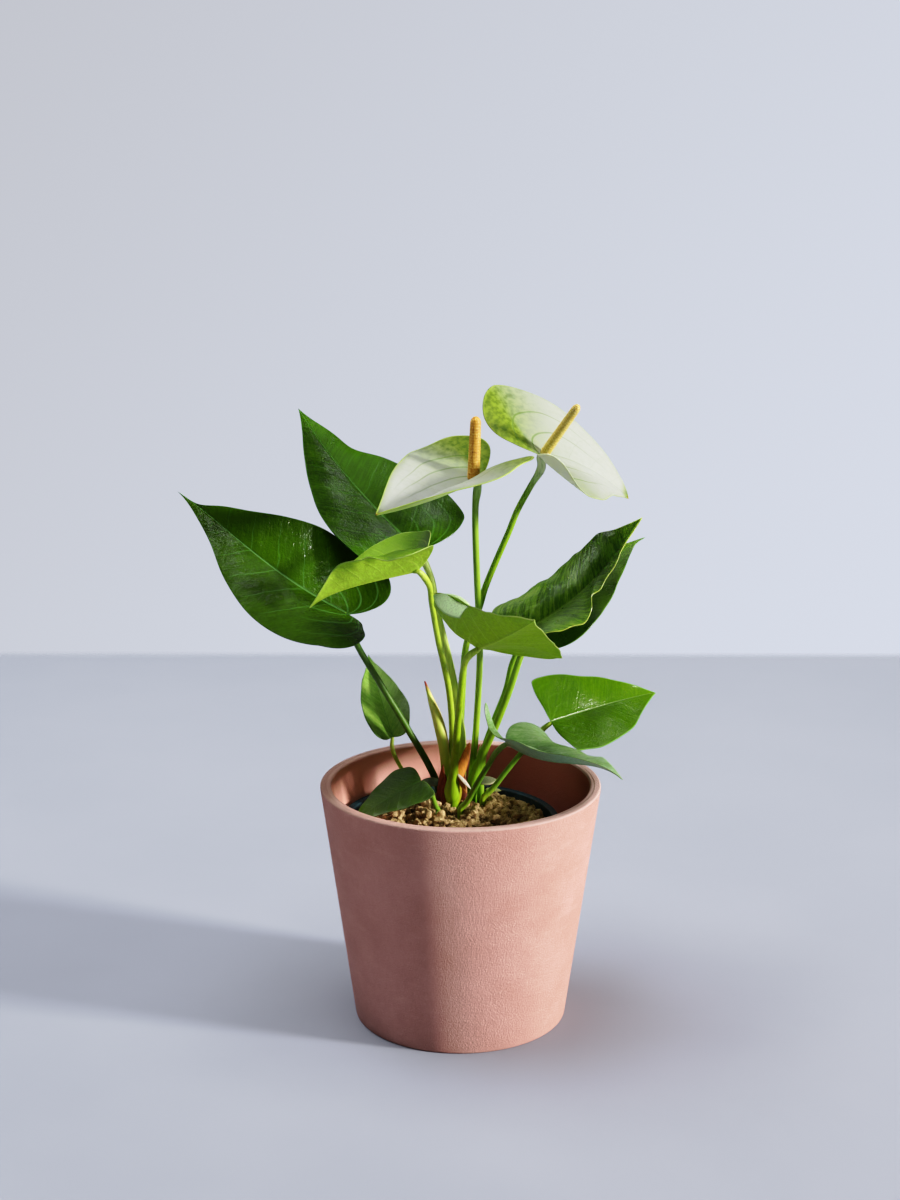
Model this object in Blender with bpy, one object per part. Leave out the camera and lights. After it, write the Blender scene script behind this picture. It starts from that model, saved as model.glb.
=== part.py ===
"""Potted anthurium: ten leaves, two blooms and a new shoot in a nursery pot, inside a tapered cover pot.

Lengths below are in millimetres and angles in degrees. Meshes are made in metres.
+Z is up, +X is to the right and -Y is towards the viewer. The origin is the middle of the cover pot's base.
"""

import math
from dataclasses import dataclass

import bmesh
import bpy
import numpy as np

MM = 0.001
GAP = 0.3

# Cover pot: a tapered pot with a flat base, a thin wall and a level rim.
POT_RIM_RADIUS = 75.0
POT_BASE_RADIUS = 57.0
POT_HEIGHT = 130.0
POT_WALL = 6.0
POT_FLOOR = 6.0
POT_EDGE = 1.2
POT_SEGMENTS = 64

# Nursery pot: a standard 12 cm plastic pot that stands a little to the front left inside the cover pot.
INNER_CENTRE = (-5.6, -3.3)
INNER_RIM_RADIUS = 58.5
INNER_LIP = 2.6
INNER_LIP_DEPTH = 6.0
INNER_BASE_RADIUS = 42.0
INNER_RIM_Z = 111.0
INNER_WALL = 1.2
INNER_FLOOR = 2.0
INNER_SEGMENTS = 48

# Soil: highest round the plant, lower at the pot's wall, with coarse lumps.
SOIL_MIDDLE_Z = 113.0
SOIL_EDGE_Z = 104.5
SOIL_LUMP = 2.4
SOIL_WAVES = 14
SOIL_WAVE_LENGTHS = (9, 22)
SOIL_SEED = 7
SOIL_RINGS = 15
SOIL_SEGMENTS = 48
STEM_FOOT_Z = 104.0
STEMS_STRAIGHT_FROM = SOIL_MIDDLE_Z + 3.0

BLADE_THICKNESS = 0.7
BLADE_ROWS = 16
BLADE_COLUMNS = 3
ROW_CROWDING = 1.25
RIB_BLEND = 3.0
MARGIN_STEPS = 400
STEM_BEVEL = 2
HOLE_SEGMENTS = 16
STALK_SWELLS_FROM = 0.6
STALK_KNEE = 2.2
STALK_POINTS = 16
SHOOT_POINTS = 12

# Half of a heart-shaped blade. Behind the stalk x is in lobe lengths, in front of it in blade lengths,
# and y is in half widths. The shoulder is where it is widest.
SHOULDER = 0.12
HALF_HEART = [
    (-0.10, 0.0), (-0.62, 0.17), (-0.95, 0.38), (-0.98, 0.62), (-0.66, 0.84), (-0.10, 0.97),
    (SHOULDER, 1.0), (0.32, 0.87), (0.52, 0.62), (0.70, 0.35), (0.84, 0.15), (0.93, 0.05), (1.0, 0.0),
]


@dataclass(frozen=True)
class Blade:
    """A leaf blade or a spathe. Where two values are given, the first is for the left half."""

    at: tuple  # where the stalk meets it
    length: float  # from the stalk to the tip
    width: float
    lobe: float  # how far the rear lobes reach behind the stalk
    heading: float  # which way the midrib sets off, from +X towards +Y
    rise: float  # lifts the midrib
    roll: float  # lifts the left half
    fold: tuple  # lifts each half off the midrib
    curl: tuple  # adds to the fold towards the margin
    droop: float  # bends the midrib down along its length
    hook: float  # bends the tip down
    sweep: float  # bends the midrib to the left
    twist: float  # turns the blade about its midrib, towards the tip
    lobe_drop: tuple  # bends each rear lobe down
    fullness: float  # below 1, fills the outline out towards the tip
    sides: tuple  # scales the width of each half


@dataclass(frozen=True)
class Stem:
    """A petiole, a flower stem or the shoot."""

    through: list  # points from the top down
    foot: tuple  # where it stands in the soil
    radii: tuple  # at the top, in the middle and at the foot


@dataclass(frozen=True)
class Spadix:
    """The spike of a bloom, which stands on the spathe just in front of the stem."""

    tip: tuple
    radii: tuple  # low and high


BLADES = {
    "leaf_1": Blade(at=(-60.5, 0, 223), length=110, width=82, lobe=15.5, heading=170, rise=25, roll=-11,
                    fold=(11, 26), curl=(-20, -10), droop=-25, hook=23, sweep=-9, twist=-51,
                    lobe_drop=(0, 0), fullness=1.06, sides=(1.06, 1.01)),
    "leaf_2": Blade(at=(-22.7, 28, 250.8), length=115, width=77, lobe=5, heading=148, rise=33, roll=-26.5,
                    fold=(17, 6), curl=(-1, -3), droop=3, hook=-1, sweep=-19, twist=-9,
                    lobe_drop=(4, 4), fullness=0.93, sides=(1.04, 0.98)),
    "leaf_3": Blade(at=(-22.1, -24, 251.8), length=59.5, width=60.5, lobe=11.5, heading=180, rise=-13.5,
                    roll=9.5, fold=(76, 47), curl=(-113, -15), droop=3, hook=18, sweep=1, twist=4,
                    lobe_drop=(1.5, -44), fullness=1.09, sides=(1.02, 1)),
    "leaf_4": Blade(at=(9.3, -25, 211.2), length=76, width=76, lobe=13.5, heading=-69, rise=21, roll=-35,
                    fold=(27.5, -1), curl=(-12, 34), droop=-6.5, hook=0, sweep=-1.5, twist=-3,
                    lobe_drop=(5, -79), fullness=0.97, sides=(1.07, 0.99)),
    "leaf_5": Blade(at=(38, 5, 215), length=84, width=71, lobe=14.5, heading=19, rise=22, roll=28,
                    fold=(20, 42.5), curl=(-78, -18), droop=-69, hook=25, sweep=-2.5, twist=2.5,
                    lobe_drop=(7, 10), fullness=0.83, sides=(1.04, 1.01)),
    "leaf_6": Blade(at=(45, 20, 209), length=86, width=56.5, lobe=11, heading=42, rise=35, roll=4.5,
                    fold=(-1, 13), curl=(-21, -12), droop=8, hook=8, sweep=-3, twist=9,
                    lobe_drop=(10, 5), fullness=0.95, sides=(1, 1)),
    "leaf_7": Blade(at=(48.9, 13, 159.5), length=76.5, width=51.5, lobe=2, heading=35, rise=5.5, roll=39.5,
                    fold=(15, 17.5), curl=(-5, -1), droop=5, hook=2, sweep=0, twist=3,
                    lobe_drop=(10, 10), fullness=0.79, sides=(1, 1.1)),
    "leaf_8": Blade(at=(24.4, -20, 158.6), length=84.5, width=43, lobe=13.5, heading=-54, rise=-13, roll=-4,
                    fold=(25.5, 37.5), curl=(-42, -22), droop=-46, hook=49, sweep=10, twist=0.5,
                    lobe_drop=(0, -57), fullness=1.02, sides=(1.6, 1)),
    "leaf_9": Blade(at=(-37.3, 32, 145.5), length=60.5, width=36, lobe=4, heading=112, rise=40, roll=-17,
                    fold=(46, 42), curl=(0, 3), droop=13.5, hook=2, sweep=-3.5, twist=-7,
                    lobe_drop=(9, 10), fullness=0.93, sides=(1.02, 0.99)),
    "leaf_10": Blade(at=(-21, -12, 134.5), length=45.5, width=37, lobe=2, heading=202, rise=-19, roll=-8.5,
                     fold=(6, 6), curl=(-4.5, -7), droop=14.5, hook=0, sweep=1, twist=-12,
                     lobe_drop=(10, 10), fullness=1, sides=(1, 1)),
    "bloom_1": Blade(at=(8.3, 0, 294.2), length=67, width=75.5, lobe=23, heading=219, rise=-16, roll=1.5,
                     fold=(36, 34), curl=(-40, -18.5), droop=-14, hook=0, sweep=2, twist=-7,
                     lobe_drop=(15, -3), fullness=0.73, sides=(1.01, 1.02)),
    "bloom_2": Blade(at=(41, 4, 306.3), length=67, width=86, lobe=21, heading=50, rise=-8.5, roll=27,
                     fold=(19, 4), curl=(-3, -7), droop=18, hook=2, sweep=-45, twist=-1,
                     lobe_drop=(36, -68), fullness=0.6, sides=(1.13, 0.99)),
}

STALKS = {
    "leaf_1": Stem(through=[(-54.9, 8, 203.8), (-41.5, 14, 178), (-27.9, 19, 152.5), (-15.5, 23, 128)],
                   foot=(-11.5, 24), radii=(1.6, 1.8, 2.1)),
    "leaf_2": Stem(through=[(-16.1, 27, 236.4), (-12.8, 26, 218), (-8.6, 25, 200.4), (-4.6, 24.5, 182.3),
                            (-1.9, 24, 165.6), (0.2, 23.3, 140)],
                   foot=(0.5, 23), radii=(1.6, 2.3, 3.1)),
    "leaf_3": Stem(through=[(-16.4, -19, 242.9), (-15.1, -12, 231.8), (-13.4, -8, 220), (-11.5, -4, 208),
                            (-9.4, 0, 197.6), (-6.2, 8.5, 178.5), (-4.6, 15, 157), (-4.6, 19.5, 136)],
                   foot=(-4.8, 21.5), radii=(1.4, 1.7, 2.2)),
    "leaf_4": Stem(through=[(3.8, -24, 206), (1.7, -21, 200), (-0.2, -12, 180.5), (-1.1, -8, 170),
                            (-2.2, -1, 153.5), (-3.6, 6, 136.5), (-4, 10, 122)],
                   foot=(-4, 11), radii=(1.5, 2.0, 4.5)),
    "leaf_5": Stem(through=[(31.7, 8.5, 197), (26.4, 12, 178.5), (19.3, 15, 158), (11.1, 17, 138),
                            (6.8, 17.5, 124)],
                   foot=(5.8, 17.5), radii=(1.6, 2.1, 3.7)),
    "leaf_6": Stem(through=[(33, 21.5, 200), (28, 22.5, 190), (24.5, 24, 174), (19, 25, 158.5),
                            (13, 25.5, 140), (11.2, 25.5, 125)],
                   foot=(11, 25.5), radii=(1.5, 1.8, 2.0)),
    "leaf_7": Stem(through=[(44.5, 13.5, 155.6), (35.4, 13.5, 145.3), (24.6, 13, 131.6), (17.4, 12.7, 122)],
                   foot=(12, 12.7), radii=(1.2, 1.5, 1.8)),
    "leaf_8": Stem(through=[(18.9, -17.5, 152.7), (15, -13.5, 144.6), (11, -10, 136.5), (7, -7, 128),
                            (3.4, -5, 120.5)],
                   foot=(0, -4), radii=(1.2, 1.6, 1.9)),
    "leaf_9": Stem(through=[(-37.6, 31, 140.5), (-36.2, 30, 135.4), (-32.6, 27, 129), (-26.4, 21.5, 121.5)],
                   foot=(-20.5, 17), radii=(0.9, 1.2, 1.4)),
    "leaf_10": Stem(through=[(-17.8, -11, 131.4), (-15.2, -9, 126), (-13.1, -6, 118.5)],
                    foot=(-12, -4.6), radii=(1.1, 1.3, 1.5)),
    "bloom_1": Stem(through=[(7.6, 4, 280), (7.6, 5.5, 266.4), (8.6, 10, 238.5), (9.4, 13, 221.3),
                             (10.3, 17, 198), (8.3, 25, 150), (6.6, 27, 130)],
                    foot=(5.6, 27.5), radii=(1.7, 1.75, 1.9)),
    "bloom_2": Stem(through=[(41.6, 4, 300), (36.2, 6, 289.5), (29.6, 9, 276.3), (25.1, 11.5, 264),
                             (18, 15.5, 246), (12.7, 18.5, 231.5), (10.2, 20, 222), (4.2, 24, 203.8),
                             (2.4, 25.5, 195), (0.8, 29, 168), (-0.2, 30, 144)],
                    foot=(-0.5, 30), radii=(1.6, 1.8, 1.9)),
}

SPADICES = {
    "bloom_1": Spadix(tip=(7.6, -2, 327), radii=(3.2, 2.7)),
    "bloom_2": Spadix(tip=(59, -12, 331), radii=(2.7, 2.2)),
}
SPADIX_SIDES = 20
SPADIX_RINGS = 22
SPADIX_RELIEF = 0.16
SPADIX_SEAT = 2.5
SPADIX_FOOT_RISE = 0.6

SHOOT = Stem(through=[(-19.2, 16, 181.4), (-15.9, 16, 171), (-12.3, 16.5, 159.5), (-9.2, 17, 145),
                      (-8, 17, 130)],
             foot=(-7.8, 17), radii=(0.35, 2.3, 2.2))

# Finishes: linear colour, roughness.
FINISHES = {
    "terracotta": ((0.52, 0.24, 0.18), 0.75),
    "teal_plastic": ((0.01, 0.03, 0.04), 0.45),
    "soil": ((0.32, 0.22, 0.13), 0.95),
    "leaf_dark": ((0.02, 0.09, 0.01), 0.3),
    "leaf_fresh": ((0.08, 0.27, 0.02), 0.35),
    "leaf_young": ((0.25, 0.40, 0.05), 0.4),
    "stalk": ((0.16, 0.33, 0.03), 0.4),
    "spathe": ((0.75, 0.80, 0.62), 0.45),
    "spadix": ((0.75, 0.48, 0.08), 0.6),
}
BLADE_FINISH = {
    "leaf_1": "leaf_dark", "leaf_2": "leaf_dark", "leaf_3": "leaf_young", "leaf_4": "leaf_fresh",
    "leaf_5": "leaf_dark", "leaf_6": "leaf_dark", "leaf_7": "leaf_fresh", "leaf_8": "leaf_fresh",
    "leaf_9": "leaf_fresh", "leaf_10": "leaf_dark", "bloom_1": "spathe", "bloom_2": "spathe",
}


def clear_scene():
    for item in list(bpy.data.objects):
        bpy.data.objects.remove(item, do_unlink=True)


def finish(name):
    material = bpy.data.materials.get(name)
    if material is None:
        colour, roughness = FINISHES[name]
        material = bpy.data.materials.new(name)
        material.use_nodes = True
        shader = material.node_tree.nodes["Principled BSDF"]
        shader.inputs["Base Color"].default_value = (*colour, 1.0)
        shader.inputs["Roughness"].default_value = roughness
        shader.inputs["Metallic"].default_value = 0.0
    return material


def add_mesh(name, mesh, finish_name, sharp_angle=40):
    """A smooth-shaded object, with edges that stay sharp where the surface turns quickly."""
    mesh.shade_smooth()
    mesh.set_sharp_from_angle(angle=math.radians(sharp_angle))
    mesh.materials.append(finish(finish_name))
    item = bpy.data.objects.new(name, mesh)
    bpy.context.collection.objects.link(item)
    return item


def add_solid(name, points, faces, finish_name, sharp_angle=40):
    """An object from points in millimetres and faces that point outwards."""
    mesh = bpy.data.meshes.new(name)
    mesh.from_pydata([tuple(float(c) * MM for c in p) for p in points], [], faces)
    mesh.validate()
    return add_mesh(name, mesh, finish_name, sharp_angle)


def smooth_curve(points, places):
    """A smooth curve through the given points. Place 2.5 on it is halfway from the third to the fourth."""
    points = np.asarray(points, float)
    knots = np.concatenate([[0.0], np.cumsum(np.sqrt(np.linalg.norm(np.diff(points, axis=0), axis=1)))])
    slopes = np.zeros_like(points)
    for i in range(1, len(points) - 1):
        before, after = knots[i] - knots[i - 1], knots[i + 1] - knots[i]
        slopes[i] = ((points[i] - points[i - 1]) / before * after
                     + (points[i + 1] - points[i]) / after * before) / (before + after)
    slopes[0] = 2 * (points[1] - points[0]) / (knots[1] - knots[0]) - slopes[1]
    slopes[-1] = 2 * (points[-1] - points[-2]) / (knots[-1] - knots[-2]) - slopes[-2]
    span = np.clip(np.floor(places).astype(int), 0, len(points) - 2)
    step = (knots[span + 1] - knots[span])[:, None]
    u = (np.asarray(places) - span)[:, None]
    return ((2 * u**3 - 3 * u**2 + 1) * points[span] + (u**3 - 2 * u**2 + u) * step * slopes[span]
            + (3 * u**2 - 2 * u**3) * points[span + 1] + (u**3 - u**2) * step * slopes[span + 1])


def evenly(points, count):
    """The same line with its points spread evenly."""
    lengths = np.concatenate([[0.0], np.cumsum(np.linalg.norm(np.diff(points, axis=0), axis=1))])
    even = np.linspace(0, lengths[-1], count)
    return np.stack([np.interp(even, lengths, points[:, axis]) for axis in range(points.shape[1])], -1)


def turned(name, profile, segments, centre, finish_name):
    """A solid of revolution, spun from a profile that starts and ends on the axis."""
    shape = bmesh.new()
    corners = [shape.verts.new((radius * MM, 0, height * MM)) for radius, height in profile]
    edges = [shape.edges.new(pair) for pair in zip(corners[:-1], corners[1:])]
    bmesh.ops.spin(shape, geom=corners + edges, cent=(0, 0, 0), axis=(0, 0, 1), angle=math.tau,
                   steps=segments, use_merge=True)
    bmesh.ops.remove_doubles(shape, verts=shape.verts, dist=1e-6)
    bmesh.ops.recalc_face_normals(shape, faces=shape.faces)
    mesh = bpy.data.meshes.new(name)
    shape.to_mesh(mesh)
    shape.free()
    item = add_mesh(name, mesh, finish_name)
    item.location = (centre[0] * MM, centre[1] * MM, 0)
    return item


def pot_radius(height):
    """The cover pot's outer radius at a height."""
    return POT_BASE_RADIUS + (POT_RIM_RADIUS - POT_BASE_RADIUS) * height / POT_HEIGHT


def make_cover_pot():
    edge = POT_EDGE
    profile = [
        (0, 0),
        (pot_radius(0) - edge, 0),
        (pot_radius(edge), edge),
        (pot_radius(POT_HEIGHT - edge), POT_HEIGHT - edge),
        (pot_radius(POT_HEIGHT) - edge, POT_HEIGHT),
        (pot_radius(POT_HEIGHT) - POT_WALL + edge, POT_HEIGHT),
        (pot_radius(POT_HEIGHT - edge) - POT_WALL, POT_HEIGHT - edge),
        (pot_radius(POT_FLOOR) - POT_WALL, POT_FLOOR),
        (0, POT_FLOOR),
    ]
    return turned("cover_pot", profile, POT_SEGMENTS, (0, 0), "terracotta")


def inner_radius(height):
    """The nursery pot's outer wall radius at a height, under its lip."""
    foot = POT_FLOOR + GAP
    top_radius = INNER_RIM_RADIUS - INNER_LIP
    return INNER_BASE_RADIUS + (top_radius - INNER_BASE_RADIUS) * (height - foot) / (INNER_RIM_Z - foot)


def make_nursery_pot():
    foot = POT_FLOOR + GAP
    under_lip = INNER_RIM_Z - INNER_LIP_DEPTH
    profile = [
        (0, foot),
        (inner_radius(foot), foot),
        (inner_radius(under_lip), under_lip),
        (INNER_RIM_RADIUS, under_lip),
        (INNER_RIM_RADIUS, INNER_RIM_Z - 0.6),
        (INNER_RIM_RADIUS - 0.6, INNER_RIM_Z),
        (inner_radius(INNER_RIM_Z) - INNER_WALL, INNER_RIM_Z),
        (inner_radius(foot + INNER_FLOOR) - INNER_WALL, foot + INNER_FLOOR),
        (0, foot + INNER_FLOOR),
    ]
    return turned("nursery_pot", profile, INNER_SEGMENTS, INNER_CENTRE, "teal_plastic")


def soil_waves():
    """Seeded waves that add up to coarse lumps, a few millimetres across."""
    draw = np.random.default_rng(SOIL_SEED)
    waves = []
    for _ in range(SOIL_WAVES):
        angle = draw.uniform(0, math.tau)
        length = draw.uniform(*SOIL_WAVE_LENGTHS)
        waves.append((math.cos(angle) * math.tau / length, math.sin(angle) * math.tau / length,
                      draw.uniform(0, math.tau), length / max(SOIL_WAVE_LENGTHS)))
    return waves


def soil_height(x, y, waves):
    """The soil's top at a point, measured from the nursery pot's middle."""
    reach = math.hypot(x, y) / INNER_RIM_RADIUS
    base = SOIL_MIDDLE_Z - (SOIL_MIDDLE_Z - SOIL_EDGE_Z) * reach**2.5
    total = sum(size * math.sin(kx * x + ky * y + shift) for kx, ky, shift, size in waves)
    lump = SOIL_LUMP * math.tanh(total / 2.5)
    return base + lump * (1 - reach**6)


def make_soil():
    """The growing medium: lumpy on top, the nursery pot's inside shape below, with holes for the stems."""
    waves = soil_waves()
    floor = POT_FLOOR + GAP + INNER_FLOOR + GAP
    edge_radius = inner_radius(SOIL_EDGE_Z) - INNER_WALL - GAP
    foot_radius = inner_radius(floor) - INNER_WALL - GAP
    cx, cy = INNER_CENTRE
    points = [(cx, cy, soil_height(0, 0, waves))]
    for ring in range(1, SOIL_RINGS + 1):
        radius = edge_radius * ring / SOIL_RINGS
        for i in range(SOIL_SEGMENTS):
            angle = math.tau * (i + 0.5 * (1 - ring % 2)) / SOIL_SEGMENTS
            x, y = radius * math.cos(angle), radius * math.sin(angle)
            points.append((cx + x, cy + y, soil_height(x, y, waves)))
    for i in range(SOIL_SEGMENTS):
        angle = math.tau * i / SOIL_SEGMENTS
        points.append((cx + foot_radius * math.cos(angle), cy + foot_radius * math.sin(angle), floor))
    points.append((cx, cy, floor))

    def ring_point(ring, i):
        return 1 + (ring - 1) * SOIL_SEGMENTS + i % SOIL_SEGMENTS

    faces = []
    for i in range(SOIL_SEGMENTS):
        faces.append((0, ring_point(1, i), ring_point(1, i + 1)))
        for ring in range(1, SOIL_RINGS):
            a, b = ring_point(ring, i), ring_point(ring, i + 1)
            c, d = ring_point(ring + 1, i), ring_point(ring + 1, i + 1)
            if ring % 2:
                faces.extend([(a, c, b), (b, c, d)])
            else:
                faces.extend([(a, d, b), (a, c, d)])
        a, b = ring_point(SOIL_RINGS, i), ring_point(SOIL_RINGS, i + 1)
        c, d = ring_point(SOIL_RINGS + 1, i), ring_point(SOIL_RINGS + 1, i + 1)
        faces.append((a, c, d, b))
        faces.append((len(points) - 1, d, c))
    return add_solid("soil", points, faces, "soil")


def half_outline(blade, side, count):
    """One half of the flat blade's margin, from the notch behind the stalk to the tip."""
    points = []
    for along, out in HALF_HEART:
        if along > SHOULDER:
            out = out ** blade.fullness
        x = along * (blade.lobe if along < 0 else blade.length)
        points.append((x, side * out * blade.width / 2 * blade.sides[0 if side > 0 else 1]))
    return evenly(smooth_curve(points, np.linspace(0, len(points) - 1, MARGIN_STEPS)), count)


def bend(blade, x, y, side):
    """Where a point of the flat blade goes: x along the midrib, y to its side, in arrays."""
    half = blade.width / 2
    which = 0 if side > 0 else 1
    out = np.abs(y)
    fold = math.radians(blade.fold[which])
    curl = math.radians(blade.curl[which]) / half or 1e-6
    across = (np.sin(fold + curl * out) - math.sin(fold)) / curl
    lift = (math.cos(fold) - np.cos(fold + curl * out)) / curl

    # The midrib, as a fine path whose direction turns steadily, with the hook near the tip.
    grid = np.linspace(0, 1, 81)
    pitch = -math.radians(blade.droop) * grid - math.radians(blade.hook) * grid**4
    turn = math.radians(blade.sweep) * grid
    ahead = np.stack([np.cos(pitch) * np.cos(turn), np.cos(pitch) * np.sin(turn), np.sin(pitch)], -1)
    steps = (ahead[1:] + ahead[:-1]) / 2 * blade.length / (len(grid) - 1)
    path = np.concatenate([np.zeros((1, 3)), np.cumsum(steps, axis=0)])
    place = np.clip(x / blade.length, 0, 1)
    on_rib = np.stack([np.interp(place, grid, path[:, axis]) for axis in range(3)], -1)
    pitch_here, turn_here = np.interp(place, grid, pitch), np.interp(place, grid, turn)
    forward = np.stack([np.cos(pitch_here) * np.cos(turn_here), np.cos(pitch_here) * np.sin(turn_here),
                        np.sin(pitch_here)], -1)
    level = np.stack([-np.sin(turn_here), np.cos(turn_here), 0 * turn_here], -1)
    upward = np.cross(forward, level)
    twist = (math.radians(blade.twist) * place)[..., None]
    aside = level * np.cos(twist) + upward * np.sin(twist)
    upward = upward * np.cos(twist) - level * np.sin(twist)

    # The rear lobes bend about a line through the stalk.
    back = np.minimum(x, 0)
    drop = math.radians(blade.lobe_drop[which]) / blade.lobe or 1e-6
    along = (np.sin(drop * back) / drop)[..., None]
    sink = (-(1 - np.cos(drop * back)) / drop)[..., None]
    above_rib = sink + lift[..., None]
    local = on_rib + forward * along + upward * above_rib + aside * (side * across)[..., None]

    heading, rise, roll = math.radians(blade.heading), math.radians(blade.rise), math.radians(blade.roll)
    axis_x = np.array([math.cos(heading) * math.cos(rise), math.sin(heading) * math.cos(rise),
                       math.sin(rise)])
    flat = np.array([-math.sin(heading), math.cos(heading), 0.0])
    over = np.cross(axis_x, flat)
    axis_y = flat * math.cos(roll) + over * math.sin(roll)
    axis_z = over * math.cos(roll) - flat * math.sin(roll)
    return local @ np.stack([axis_x, axis_y, axis_z]) + np.array(blade.at, float)


def blade_normals(blade, x, y, side):
    """Unit normals of the bent blade. Close to the midrib they turn into the midrib's own."""
    step = 0.05

    def slope_normal(px, py, way):
        ahead = bend(blade, px + step, py, way) - bend(blade, px - step, py, way)
        sideways = bend(blade, px, py + way * step, way) - bend(blade, px, py, way)
        found = np.cross(ahead, sideways) * way
        return found / np.linalg.norm(found, axis=-1, keepdims=True)

    own = slope_normal(x, y, side)
    rib = slope_normal(x, 0 * y, 1) + slope_normal(x, 0 * y, -1)
    rib = rib / np.linalg.norm(rib, axis=-1, keepdims=True)
    weight = np.clip(np.abs(y) / RIB_BLEND, 0, 1)[..., None]
    mixed = own * weight + rib * (1 - weight)
    return mixed / np.linalg.norm(mixed, axis=-1, keepdims=True)


def make_blade(name, blade, finish_name):
    """A closed leaf blade: rows run from the midrib to the margin, and both faces share their triangles."""
    rows, columns = BLADE_ROWS, BLADE_COLUMNS
    share = np.linspace(0, 1, columns + 1)
    rib_x = np.linspace(0, 1, rows + 1) ** ROW_CROWDING * blade.length
    middle, normals, index = [], [], {}
    for side in (1, -1):
        margin = half_outline(blade, side, rows + 1)
        x = rib_x[:, None] * (1 - share) + margin[:, :1] * share
        y = margin[:, 1:] * share
        place = bend(blade, x, y, side)
        normal = blade_normals(blade, x, y, side)
        for row in range(rows + 1):
            for column in range(columns + 1):
                shared = row == 0 or column == 0
                key = (row, 0, 0) if row == rows else (row, column, 0 if shared else side)
                if key not in index:
                    index[key] = len(middle)
                    middle.append(place[row, column])
                    normals.append(normal[row, column])
    middle, normals = np.array(middle), np.array(normals)

    def at(row, column, side):
        if row == rows:
            return index[(rows, 0, 0)]
        return index[(row, column, 0 if row == 0 or column == 0 else side)]

    upper = []
    for side in (1, -1):
        for row in range(rows):
            for column in range(columns):
                a, b = at(row, column, side), at(row + 1, column, side)
                c, d = at(row + 1, column + 1, side), at(row, column + 1, side)
                for triangle in ((a, b, c), (a, c, d)):
                    if len(set(triangle)) == 3:
                        upper.append(triangle if side > 0 else triangle[::-1])
    rim = [at(row, columns, -1) for row in range(rows)]
    rim += [at(row, columns, 1) for row in range(rows, 0, -1)]
    count = len(middle)
    faces = list(upper) + [tuple(i + count for i in triangle[::-1]) for triangle in upper]
    for i, here in enumerate(rim):
        after = rim[(i + 1) % len(rim)]
        faces.append((here, here + count, after + count))
        faces.append((here, after + count, after))
    half = BLADE_THICKNESS / 2
    points = np.concatenate([middle + normals * half, middle - normals * half])
    return add_solid(name, points, faces, finish_name, sharp_angle=60)


def add_tube(name, path, radii, finish_name):
    """A round bar along a path: a bevelled curve with filled ends and a radius for each point."""
    curve = bpy.data.curves.new(name, "CURVE")
    curve.dimensions = "3D"
    spline = curve.splines.new("POLY")
    spline.points.add(len(path) - 1)
    for point, place, radius in zip(spline.points, path, radii):
        point.co = (*(float(c) * MM for c in place), 1.0)
        point.radius = float(radius)
    spline.use_smooth = True
    curve.bevel_depth = MM
    curve.bevel_resolution = STEM_BEVEL
    curve.use_fill_caps = True
    curve.materials.append(finish(finish_name))
    item = bpy.data.objects.new(name, curve)
    bpy.context.collection.objects.link(item)
    return item


def share_of_length(path):
    """How far each point lies along a line, from 0 to 1."""
    lengths = np.concatenate([[0.0], np.cumsum(np.linalg.norm(np.diff(path, axis=0), axis=1))])
    return lengths / lengths[-1]


def rooted(points, foot, count):
    """A smooth line through the points, with a straight piece at each end, the last one in the soil."""
    above = (*foot, STEMS_STRAIGHT_FROM)
    below = (*foot, STEM_FOOT_Z)
    given = [*points, above, below]
    return np.array([given[0], *smooth_curve(given, np.linspace(1, len(given) - 2, count)), below])


def stalk_path(name, count):
    """A stalk's line from just under its blade, which it meets squarely, to its foot in the soil."""
    blade, stalk = BLADES[name], STALKS[name]
    zero = np.zeros(1)
    normal = blade_normals(blade, zero + 0.4, zero, 1)[0]
    stop = np.array(blade.at, float) - normal * (BLADE_THICKNESS / 2 + GAP)
    return rooted([stop, stop - normal * STALK_KNEE, *stalk.through], stalk.foot, count)


def stalk_radii(stalk, path):
    """Slim for most of the length, thicker towards the foot."""
    top, middle, foot = stalk.radii
    along = share_of_length(path)
    swelling = np.clip((along - STALK_SWELLS_FROM) / (1 - STALK_SWELLS_FROM), 0, 1) ** 1.5
    slim = top + (middle - top) * np.minimum(along / STALK_SWELLS_FROM, 1)
    return slim + (foot - middle) * swelling


def make_stalk(name, label):
    path = stalk_path(name, STALK_POINTS)
    add_tube(label, path, stalk_radii(STALKS[name], path), "stalk")


def make_shoot():
    """A rolled new leaf that stands up from the soil and narrows to a point."""
    path = rooted(SHOOT.through, SHOOT.foot, SHOOT_POINTS)
    along = share_of_length(path)
    tip, middle, foot = SHOOT.radii
    widening = np.sin(np.minimum(along, 0.5) * math.pi) ** 0.8
    radii = tip + (middle - tip) * widening + (foot - middle) * np.clip(along - 0.5, 0, 1) * 2
    add_tube("new_shoot", path, radii, "leaf_young")


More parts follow.
